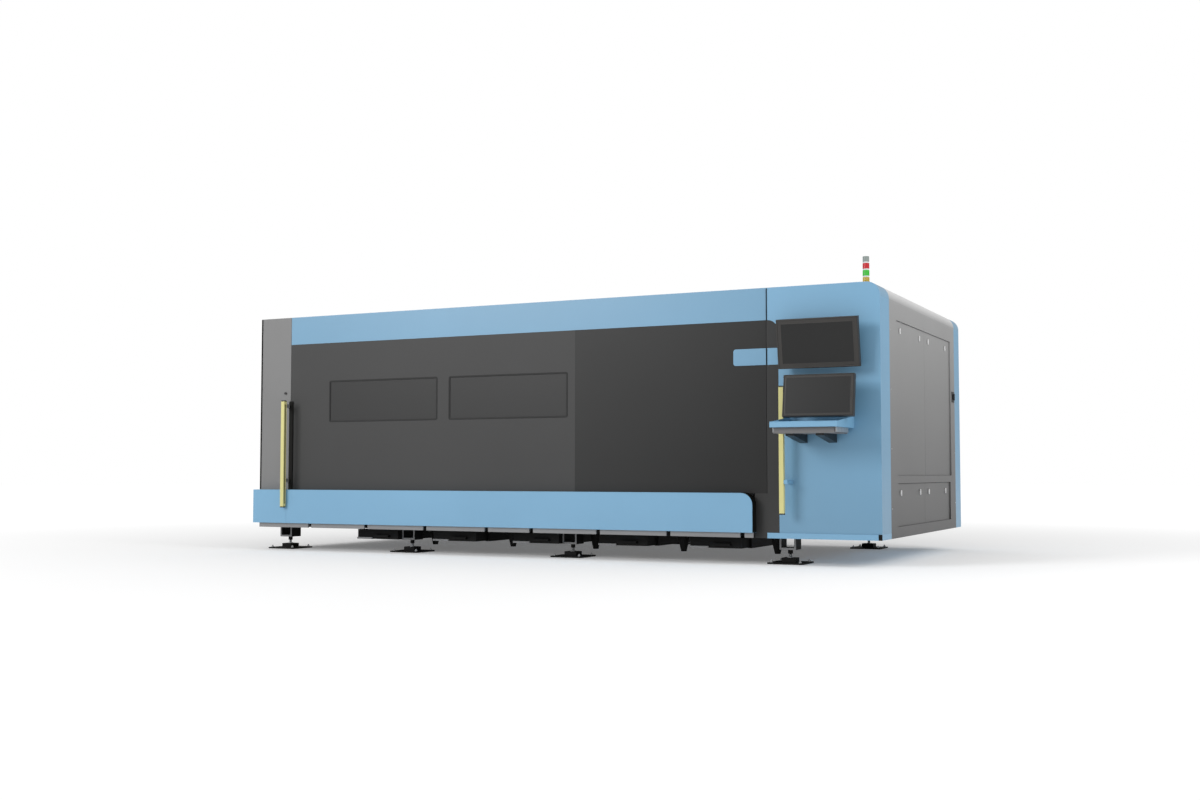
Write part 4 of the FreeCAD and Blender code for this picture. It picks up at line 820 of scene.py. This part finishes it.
class LASER_OT_front_seams(bpy.types.Operator):
    """The black edge of the cabinet beside the door and the rubber edge round the drawer front's right end"""

    bl_idname = "laser_cutter.front_seams"
    bl_label = "Front seams"

    def execute(self, context):
        low, high = corners("cabinet_front")
        skin_top = corners("door_skin")[1][2]
        tab_low, tab_height = corners("door_band")[0][2], 0.125
        spans = ((skin_top, high[2] - 0.004), (tab_low, tab_low + tab_height))
        edge = boxes([(low[0] - 0.0018, low[1] - 0.0045, z[0]) for z in spans],
                     [(low[0] + 0.0050, low[1] + 0.002, z[1]) for z in spans], 0.0008)
        new_piece("cabinet_edge", edge, "machine", "rubber")
        low, high = corners("drawer_front")
        radius, sunk, depth = 0.086, 0.001, 0.083
        t = np.linspace(0, np.pi / 2, 13)
        right, rear = high[0] - sunk, high[1] - sunk
        arc = (right - radius, high[2] - radius) + radius * np.stack([np.cos(t), np.sin(t)], -1)
        path = lay(np.concatenate([[(right, low[2] + sunk)], arc]), "XZ", rear)
        lip = [(-0.0006, 0.0), (0.0018, 0.0), (0.0018, depth), (-0.0006, depth)]
        new_piece("drawer_end_edge", swept(lip, path, (0, -1, 0)), "table", "rubber", smooth=30)
        return {"FINISHED"}


class LASER_OT_curtain_optics(bpy.types.Operator):
    """Dark optic windows on the posts' inner faces and the posts' end caps"""

    bl_idname = "laser_cutter.curtain_optics"
    bl_label = "Light curtain optics"

    def execute(self, context):
        low, high = corners("light_curtains")
        width = high[1] - low[1]
        left, right = (low[0], low[0] + width), (high[0] - width, high[0])
        sunk, proud = 0.001, 0.0012
        y0, y1 = low[1] + 0.009, high[1] - 0.009
        z0, z1 = low[2] + 0.03, high[2] - 0.03
        glass = boxes([(left[1] - sunk, y0, z0), (right[0] - proud, y0, z0)],
                      [(left[1] + proud, y1, z1), (right[0] + sunk, y1, z1)], 0.0005)
        new_piece("curtain_windows", glass, "machine", "optic")
        spots = [(x, z) for x in (left, right) for z in (low[2] - 0.004, high[2] - 0.008)]
        caps = boxes([(x[0] - 0.001, low[1] - 0.001, z) for x, z in spots],
                     [(x[1] + 0.001, high[1] + 0.001, z + 0.012) for x, z in spots], 0.003)
        new_piece("curtain_caps", caps, "machine", "black")
        return {"FINISHED"}


class LASER_OT_signal_tower(bpy.types.Operator):
    """Ribs on the lenses and a flange under the tower"""

    bl_idname = "laser_cutter.signal_tower"
    bl_label = "Signal tower"

    def execute(self, context):
        low, high = corners("tower_lenses")
        base = corners("tower_body")[0]
        centre = (low + high) / 2
        radius = (high[0] - low[0]) / 2
        lens, ring, half, gap = 0.042, 0.011, 0.0009, 0.002
        ribs = [(centre[0] + radius * math.cos(a), centre[1] + radius * math.sin(a), z)
                for a in turns(36) for z in low[2] + gap + (lens + ring) * np.arange(3)]
        bars = boxes(np.subtract(ribs, (half, half, 0)), np.add(ribs, (half, half, lens - 2 * gap)), 0.0004)
        new_piece("lens_ribs", bars, "machine", "lens")
        steps = ((0.008, 0.0), (0.008, 0.004), (0.003, 0.007), (0.001, 0.010))
        flange = [(radius + out, z) for out, z in steps]
        shape = turned(flange, (centre[0], centre[1], base[2]), (0, 0, 1), sides=32)
        new_piece("tower_flange", shape, "machine", "black", smooth=40)
        return {"FINISHED"}


# ---------------------------------------------------------------- displays and console


def tilted(shape, pivot, degrees):
    """A shape built round the origin, turned about the X axis and moved to a pivot."""
    points, faces = shape
    c, s = math.cos(math.radians(degrees)), math.sin(math.radians(degrees))
    return pivot + points @ np.array([[1, 0, 0], [0, c, s], [0, -s, c]]), faces


# Name, width, height, bezel width and the tilt in degrees that each display is packed at.
DISPLAYS = (("upper", 0.609, 0.363, 0.034, 8.7), ("lower", 0.525, 0.309, 0.020, -8.5))


class LASER_OT_display_details(bpy.types.Operator):
    """Bevelled bezel rims, buttons and rear vents of each display"""

    bl_idname = "laser_cutter.display_details"
    bl_label = "Display details"

    def execute(self, context):
        joints = {j["name"]: j for j in frame["joints"]}
        face, back, edge = -0.058, -0.016, 0.005
        bead = [(-0.003, -0.001), (-0.003, 0.0006), (0.0, 0.0014), (0.003, 0.0006), (0.003, -0.001)]
        rim = [(-0.005, -0.001), (-0.005, 0.0012), (-0.001, 0.003), (0.004, 0.0012), (0.005, -0.001)]
        button = [(0.0035, -0.001), (0.0035, 0.0012), (0.0028, 0.002)]
        for tag, width, height, bezel, tilt in DISPLAYS:
            pivot = np.array(joints[tag + "_display_tilt"]["pos_m"], float)
            corner = np.array([width, height]) / 2
            parts = []
            for section, inset, radius in ((bead, bezel, 0.002), (rim, edge, 0.006)):
                ring = round_rectangle(inset - corner, corner - inset, radius)
                parts.append(swept(section, lay(ring, "XZ", face), (0, -1, 0), closed=True))
            rows = -height / 2 + 0.05 + 0.012 * np.arange(7)
            vents = boxes([(-width / 2 + 0.06, back - 0.001, z) for z in rows],
                          [(width / 2 - 0.06, back + 0.0022, z + 0.005) for z in rows], 0.001)
            spots = [(width / 2 - 0.05 - 0.014 * k, face, -height / 2 + bezel / 2) for k in range(4)]
            studs = turned(button, spots, (0, -1, 0), sides=16)
            for label, shape, finish, smooth in (("_bezel_rims", joined(*parts), "bezel", 40),
                                                 ("_vents_and_buttons", joined(vents, studs), "black", 35)):
                new_piece(tag + label, tilted(shape, pivot, tilt), tag + "_display", finish, smooth=smooth)
        return {"FINISHED"}


class LASER_OT_console(bpy.types.Operator):
    """Key caps, a shaped mouse, the keyboard drawer's slides and the tray's rolled front edge"""

    bl_idname = "laser_cutter.console"
    bl_label = "Console"

    def execute(self, context):
        pitch = details().key_pitch
        low, high = corners("keyboard")
        rows = 6
        columns = int((high[0] - low[0] - 0.02) / pitch)
        x0 = (low[0] + high[0]) / 2 - columns * pitch / 2
        y0 = high[1] - 0.008
        keys = []
        for row in range(rows):
            y = y0 - pitch * (row + 1) - (0.004 if row else 0.0)
            if row < rows - 1:
                keys += [(x0 + pitch * k, x0 + pitch * (k + 1), y) for k in range(columns)]
            else:
                # The space bar's row: where each wide key starts, in key widths.
                wide = [0, 1.25, 2.5, 3.75, 10, 11.25, 12.5, 13.75] + list(range(15, columns + 1))
                keys += [(x0 + pitch * a, x0 + pitch * b, y) for a, b in zip(wide[:-1], wide[1:])]
        gap, top = 0.001, high[2]
        caps = boxes([(a + gap, y + gap, top - 0.001) for a, b, y in keys],
                     [(b - gap, y + pitch - gap, top + 0.0045) for a, b, y in keys], 0.0022)
        new_piece("key_caps", caps, "keyboard_tray", "bezel")
        self.shaped_mouse()
        drawer_low, drawer_high = corners("keyboard_drawer")
        tray_low, tray_high = corners("console_tray")
        slides_low = np.array([(x, drawer_low[1] + 0.02, drawer_low[2] + 0.008)
                               for x in (drawer_low[0] - 0.011, drawer_high[0] + 0.001)])
        reach = (0.010, drawer_high[1] - drawer_low[1] - 0.03, tray_low[2] - drawer_low[2] - 0.007)
        slides = boxes(slides_low, slides_low + reach, 0.002)
        new_piece("keyboard_slides", slides, "machine", "zinc")
        inset, lip = 0.0015, 0.038
        ends = (tray_low[0] + inset, tray_high[0] - inset)
        edge = [(x, tray_low[1] + inset, tray_low[2] + lip) for x in ends]
        new_piece("tray_edge_bead", swept(round_bar(0.003), edge, (0, 0, 1)), "machine", "blue", smooth=60)
        return {"FINISHED"}

    def shaped_mouse(self):
        """A mouse shell, an egg-shaped footprint whose height falls off as (1 - q^3), and its wheel."""
        low, high = corners("mouse")
        centre, half = (low + high) / 2, (high - low) / 2
        rings, around = 14, 40
        q = np.linspace(0.06, 1, rings)[:, None]
        t = turns(around)[None]
        x = centre[0] + half[0] * q * np.cos(t) * (1 - 0.1 * np.sin(t) ** 2)
        y = centre[1] + half[1] * q * np.sin(t)
        z = low[2] + (high[2] - low[2] - 0.004) * (1 - q ** 3) * (0.9 - 0.1 * np.sin(t) * q) + 0.004 * (q < 1)
        rows, columns = np.arange(rings - 1)[:, None], np.arange(around)[None]
        a, b = rows * around + columns, rows * around + (columns + 1) % around
        quads = np.stack([a, a + around, b + around, b], -1).reshape(-1, 4)
        ends = np.array([np.arange(around), (rings - 1) * around + np.arange(around)[::-1]])
        shape = np.stack([x, y, z], -1), [quads, ends]
        shell = new_piece("mouse_shell", shape, "machine", "black", smooth=50)
        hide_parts("mouse")
        wheel = [(0.0035, -0.003), (0.0045, -0.0022), (0.0045, 0.0022), (0.0035, 0.003)]
        hub = (centre[0], centre[1] + 0.5 * half[1], high[2] - 0.0075)
        new_piece("mouse_wheel", turned(wheel, hub, (1, 0, 0)), "machine", "bezel", smooth=40)


# ---------------------------------------------------------------- right side, rear, left side and roof


class LASER_OT_side_details(bpy.types.Operator):
    """Rings under the latches, frame screws, the sill and the rubber block at the cabinet's lower corner"""

    bl_idname = "laser_cutter.side_details"
    bl_label = "Side details"

    def execute(self, context):
        for tag in COVERS:
            face = corners(tag + "_cover")[1][0]
            spots = []
            for side in ("front", "rear"):
                low, high = corners(f"{tag}_{side}_latch")
                spots.append((face, *(low + high)[1:] / 2))
            ring = [(0.0265, -0.001), (0.0265, 0.0006), (0.025, 0.0014), (0.0235, 0.0014), (0.0235, -0.001)]
            new_piece(tag + "_latch_rings", turned(ring, spots, (1, 0, 0), sides=28), tag + "_cover_body",
                      "side", smooth=40)
        low, high = corners("side_frame")
        levels = middles(low[2], high[2], details().screw_pitch)
        column = [(high[0], y, z) for y in (low[1] + 0.03, high[1] - 0.02) for z in levels]
        button_heads("side_frame_screws", column, (1, 0, 0), radius=0.005)
        panel_low, panel_high = corners("cabinet_front")
        right, front, bottom = panel_high[0], *corners("cabinet_floor")[0][1:]
        block = boxes((right - 0.026, front - 0.003, bottom),
                      (right + 0.001, front + 0.006, bottom + 0.042), 0.002)
        new_piece("corner_block", block, "machine", "rubber")
        sill = boxes((right - 0.003, panel_low[1] + 0.0005, bottom + 0.001),
                     (right + 0.0008, low[1] - 0.0005, panel_low[2] + 0.001), 0.0005)
        new_piece("side_sill", sill, "machine", "blue")
        return {"FINISHED"}


def louvres(name, low, high, plane, level, outward):
    """A punched vent: sloping blades one pitch apart inside a folded rim.

    Each blade is a thin section that leans out of the sheet, carried straight across the opening.
    """
    pitch = details().louvre_pitch
    rows = middles(low[1] + 0.015, high[1] - 0.015, pitch)
    blade = [(-0.009, 0.0), (-0.007, 0.0), (0.006, 0.010), (0.008, 0.010), (0.009, 0.0085), (-0.006, -0.0015)]
    parts = []
    for row in rows:
        ends = lay([(low[0] + 0.012, row), (high[0] - 0.012, row)], plane, level)
        side = np.cross(ends[1] - ends[0], outward)
        section = blade if side[2] > 0 else [(-a, b) for a, b in reversed(blade)]
        parts.append(swept(section, ends, outward))
    frame_section = mirrored([(0.006, -0.001), (0.006, 0.003), (0.003, 0.005)])
    ring = lay(round_rectangle(low, high, 0.01), plane, level)
    turn = np.cross(ring[1] - ring[0], ring[2] - ring[1])
    if np.dot(turn, outward) < 0:
        ring = ring[::-1]
    parts.append(swept(frame_section, ring, outward, closed=True))
    new_piece(name, joined(*parts), "machine", "column", smooth=35)


class LASER_OT_rear_details(bpy.types.Operator):
    """Panel joints, screws and vents of the rear and left side, the inlet plate and the exhaust bead"""

    bl_idname = "laser_cutter.rear_details"
    bl_label = "Rear and left side"

    def execute(self, context):
        low, high = corners("body_panels")
        back, left = high[1], low[0]
        pitch = details().screw_pitch
        top = corners("roof_panels")[0][2]
        collar_low, collar_high = corners("extraction_collar")
        middle = (collar_low + collar_high) / 2
        inner = middle[0] + np.array([-1.9, -1.0, -0.3, 0.3, 1.1, 1.9])
        joints = np.array([low[0] + 0.02, *inner, high[0] - 0.02])
        half, thick, sunk, foot = 0.014, 0.004, 0.0005, low[2] + 0.01
        strips_low = [(x - half, back - sunk, foot) for x in joints]
        strips_high = [(x + half, back + thick, top) for x in joints]
        depth = np.linspace(low[1] + 0.02, high[1] - 0.03, 5)
        strips_low += [(left - thick, y - half, foot) for y in depth]
        strips_high += [(left + sunk, y + half, top) for y in depth]
        new_piece("panel_joint_strips", boxes(strips_low, strips_high, 0.0012), "machine", "column")
        levels = middles(low[2] + 0.02, top, pitch)
        behind, beside = (0, 1, 0), (-1, 0, 0)
        button_heads("rear_screws", [(x, back + thick, z) for x in joints for z in levels], behind)
        button_heads("left_side_screws", [(left - thick, y, z) for y in depth for z in levels], beside)
        z0, z1 = 1.45, 1.80
        for index, k in enumerate((0, 1, 5)):
            x = (joints[k] + joints[k + 1]) / 2
            louvres(f"rear_vent_{index}", (x - 0.28, z0), (x + 0.28, z1), "XZ", back, behind)
        for index, k in enumerate((0, 2)):
            y = (depth[k] + depth[k + 1]) / 2
            louvres(f"left_vent_{index}", (y - 0.22, z0), (y + 0.22, z1), "YZ", left, beside)
        radius = 0.125
        t = turns(64)
        bead = [(-0.001, -0.004), (0.002, -0.003), (0.003, 0.0), (0.002, 0.003), (-0.001, 0.004)]
        path = middle[[0, 2]] + radius * np.stack([np.sin(t), np.cos(t)], -1)
        path = lay(path, "XZ", collar_high[1] - 0.012)
        new_piece("collar_bead", swept(bead, path, (0, 1, 0), closed=True), "machine", "zinc", smooth=40)
        t = turns(8) + np.pi / 8
        ring = lay(middle[[0, 2]] + 0.135 * np.stack([np.cos(t), np.sin(t)], -1), "XZ", back + thick)
        button_heads("collar_screws", ring, behind, radius=0.005)
        level = corners("cable_glands")[0][2] + 0.02
        spots = [(middle[0] - 0.5 - 0.12 * k, back, level) for k in range(3)]
        nut = [(0.027, 0.0), (0.027, 0.010), (0.024, 0.013), (0.0205, 0.013)]
        new_piece("inlet_nuts", turned(nut, spots, (0, 1, 0), sides=6), "machine", "black")
        plate = boxes((spots[2][0] - 0.05, back, level - 0.045),
                      (spots[0][0] + 0.05, back + 0.003, level + 0.045), 0.001)
        new_piece("inlet_plate", plate, "machine", "zinc")
        return {"FINISHED"}


class LASER_OT_roof_details(bpy.types.Operator):
    """Folded ribs across the roof, its edge screws and four lifting eyes"""

    bl_idname = "laser_cutter.roof_details"
    bl_label = "Roof details"

    def execute(self, context):
        low, high = corners("roof_panels")
        top = high[2]
        places = np.linspace(low[0] + 0.35, high[0] - 0.95, details().seam_rows)
        section = mirrored([(0.022, -0.0005), (0.022, 0.001), (0.006, 0.012)])
        front, rear = low[1] + 0.12, high[1] - 0.05
        parts = [swept(section, [(x, front, top), (x, rear, top)], (0, 0, 1)) for x in places]
        new_piece("roof_ribs", joined(*parts), "machine", "blue", smooth=30)
        rows = [(x, y, top) for x in middles(low[0] + 0.1, high[0] - 0.15, details().screw_pitch)
                for y in (low[1] + 0.09, high[1] - 0.02)]
        button_heads("roof_screws", rows, (0, 0, 1))
        eyes = [(x, y) for x in (low[0] + 0.17, high[0] - 0.55) for y in (low[1] + 0.95, high[1] - 0.25)]
        collar = [(0.032, -0.001), (0.032, 0.006), (0.022, 0.012), (0.016, 0.02)]
        base = turned(collar, [(x, y, top) for x, y in eyes], (0, 0, 1), sides=20)
        t = turns(24)
        ring = 0.028 * np.stack([np.cos(t), np.sin(t)], -1)
        loops = [swept(round_bar(0.008), lay(ring + (x, top + 0.046), "XZ", y), (0, 1, 0), closed=True)
                 for x, y in eyes]
        new_piece("lifting_eyes", joined(base, *loops), "machine", "zinc", smooth=50)
        return {"FINISHED"}


# ---------------------------------------------------------------- feet and inside


class LASER_OT_foot_details(bpy.types.Operator):
    """Threads on the levelling screws, washers, anchor bolts and painted highlights on the brackets' edges"""

    bl_idname = "laser_cutter.foot_details"
    bl_label = "Feet"

    def execute(self, context):
        verts = np.array([v.co for v in NODES["levelling_feet"].data.vertices])
        base = verts[verts[:, 2] < 0.001]
        plate, bolt_offset, plate_top, up = 0.275, 0.1125, 0.012, (0, 0, 1)
        rows = (round(float(base[:, 1].min()), 3) + plate / 2, round(float(base[:, 1].max()), 3) - plate / 2)
        ends = np.unique(np.round(base[:, 0], 3))
        lefts = [x for x in ends if np.any(np.isclose(ends, x + plate, atol=0.0015))]
        feet = np.array([(x + plate / 2, y, 0) for x in lefts for y in rows])
        if len(feet) != 8:
            raise RuntimeError(f"expected 8 feet, found {len(feet)}")
        thread = [(0.0102 + 0.0016 * (k % 2), 0.046 + 0.0019 * k) for k in range(15)]
        washer = [(0.026, 0.045), (0.026, 0.048), (0.024, 0.049), (0.0125, 0.049)]
        bolt = [(0.012, 0.0), (0.012, 0.0015), (0.0105, 0.0015), (0.0105, 0.009), (0.0095, 0.0105),
                (0.0055, 0.0105), (0.0052, 0.018), (0.0045, 0.019)]
        either = (-bolt_offset, bolt_offset)
        spots = [foot + (a, b, plate_top) for foot in feet for a in either for b in either]
        fittings = (("foot_threads", thread, feet, 20), ("foot_washers", washer, feet, 24),
                    ("anchor_bolts", bolt, spots, 6))
        for name, profile, places, sides in fittings:
            new_piece(name, turned(profile, places, up, sides=sides), "machine", "zinc")
        # Painted highlight: pale grey strips on the front and rear edges of the black foot brackets, where light
        # catches them.
        half, bottom, thick, web, proud = 0.064, 0.105, 0.016, 0.014, 0.0008
        top = corners("body_panels")[0][2]
        bars = [((-half, half), (bottom, bottom + thick)), ((-half, web - half), (bottom + thick, top)),
                ((half - web, half), (bottom + thick, top))]
        edges = [(x, y + side * half, *bar) for x, y, _ in feet for side in (-1, 1) for bar in bars]
        shape = boxes([(x + along[0], y - proud, z[0]) for x, y, along, z in edges],
                      [(x + along[1], y + proud, z[1]) for x, y, along, z in edges], 0.0003)
        new_piece("foot_bracket_highlight_edges", shape, "machine", "strip")
        return {"FINISHED"}


class LASER_OT_motion_parts(bpy.types.Operator):
    """Rail bolts, the gantry's energy chain, and the cutting head's rings and fibre end"""

    bl_idname = "laser_cutter.motion_parts"
    bl_label = "Gantry and head details"

    def execute(self, context):
        rails = np.array([v.co for v in NODES["guide_rails"].data.vertices])
        top = corners("gantry_beam")[0][2]
        flat = rails[(rails[:, 2] < top) & (rails[:, 2] > top - 0.04)]
        lines = (flat[:, 1].min() + 0.015, flat[:, 1].max() - 0.015)
        x0, x1 = flat[:, 0].min(), flat[:, 0].max()
        level = flat[:, 2].max()
        spots = [(x, y, level - 0.0012) for y in lines for x in middles(x0, x1, 0.12)]
        head = [(0.0075, 0.0), (0.0075, 0.0012), (0.006, 0.0014), (0.0035, 0.0014), (0.0035, 0.0006)]
        new_piece("rail_bolts", turned(head, spots, (0, 0, 1), sides=12), "machine", "zinc")
        low, high = corners("gantry_beam")
        links = middles(low[1] + 0.2, high[1] - 0.2, 0.045)
        chain = boxes([(high[0] - 0.11, y, high[2] + 0.001) for y in links],
                      [(high[0] - 0.03, y + 0.036, high[2] + 0.045) for y in links], 0.006)
        new_piece("gantry_energy_chain", chain, "gantry", "black")
        low, high = corners("cutting_head")
        x, y = (low + high)[:2] / 2
        inner, outer, up = 0.0375, 0.041, (0, 0, 1)
        ring = [(inner, 0.0), (outer, 0.003), (outer, 0.013), (inner, 0.016)]
        spots = [(x, y, low[2] + z) for z in (0.012, 0.045, 0.078)]
        new_piece("head_rings", turned(ring, spots, up, sides=40), "head", "steel", smooth=40)
        cap = [(0.03, 0.0), (0.03, 0.02), (0.022, 0.03), (0.016, 0.06), (0.013, 0.09)]
        cap = turned(cap, (x, y, high[2]), up, sides=32)
        new_piece("head_fibre_collimator", cap, "head", "black", smooth=40)
        plate = boxes((low[0] - 0.002, y - 0.032, low[2] + 0.14),
                      (low[0] + 0.001, y + 0.032, high[2] - 0.02), 0.001)
        new_piece("head_cover_plate", plate, "head", "bezel")
        return {"FINISHED"}


class LASER_OT_drawer_details(bpy.types.Operator):
    """Rolled rims and pull lips on the scrap drawers, the lips pale grey as a painted highlight"""

    bl_idname = "laser_cutter.drawer_details"
    bl_label = "Scrap drawers"

    def execute(self, context):
        rim = [(-0.002, -0.003), (-0.002, 0.0022), (0.0, 0.0032), (0.0045, 0.0022), (0.0045, -0.001)]
        front, inset, proud, lip_long, lip_deep = 0.026, 0.0015, 0.0006, 0.154, 0.014
        for index in range(1, 6):
            low, high = corners(f"scrap_drawer_{index}")
            x, y, z = low + (0, front, 0)
            body = f"scrap_{index}"
            ring = round_rectangle((x + inset, y + inset), high[:2] - inset, 0.002, steps=2)
            edge = swept(rim, lay(ring, "XY", high[2] - 0.0035), (0, 0, 1), closed=True)
            new_piece(f"scrap_drawer_rim_{index}", edge, body, "frame", smooth=40)
            # The pull lip is real; its pale grey is a painted highlight on a part that sits in shade.
            lip = boxes((x - proud, y - lip_deep - proud, z - proud),
                        (x + lip_long + proud, y + 0.0005, z + lip_deep + proud), 0.001)
            new_piece(f"scrap_drawer_highlight_lip_{index}", lip, body, "strip")
        return {"FINISHED"}


# ---------------------------------------------------------------- panel and run


class LASER_PT_panel(bpy.types.Panel):
    """The settings and one button for each step"""

    bl_label = "Laser Cutter"
    bl_idname = "LASER_PT_panel"
    bl_space_type = "VIEW_3D"
    bl_region_type = "UI"
    bl_category = "Laser Cutter"

    def draw(self, context):
        for group in (context.scene.laser_paint, context.scene.laser_details, context.scene.laser_stage):
            column = self.layout.column(align=True)
            for key in group.__annotations__:
                column.prop(group, key)
        for step in STEPS:
            self.layout.operator(step.bl_idname)


SETTINGS = (("laser_paint", PaintSettings), ("laser_details", DetailSettings), ("laser_stage", StageSettings))
STEPS = (LASER_OT_finishes, LASER_OT_door_trim, LASER_OT_column_trim, LASER_OT_front_seams,
         LASER_OT_curtain_optics, LASER_OT_signal_tower, LASER_OT_display_details, LASER_OT_console,
         LASER_OT_side_details, LASER_OT_rear_details, LASER_OT_roof_details, LASER_OT_foot_details,
         LASER_OT_motion_parts, LASER_OT_drawer_details, LASER_OT_stage)


def register():
    for name, kind in SETTINGS:
        bpy.utils.register_class(kind)
        setattr(bpy.types.Scene, name, PointerProperty(type=kind))
    for kind in (*STEPS, LASER_PT_panel):
        bpy.utils.register_class(kind)


def unregister():
    for kind in (LASER_PT_panel, *reversed(STEPS)):
        bpy.utils.unregister_class(kind)
    for name, kind in reversed(SETTINGS):
        delattr(bpy.types.Scene, name)
        bpy.utils.unregister_class(kind)


def main():
    """Runs every step in order."""
    register()
    for step in STEPS:
        family, name = step.bl_idname.split(".")
        getattr(getattr(bpy.ops, family), name)()


if __name__ == "__main__":
    main()
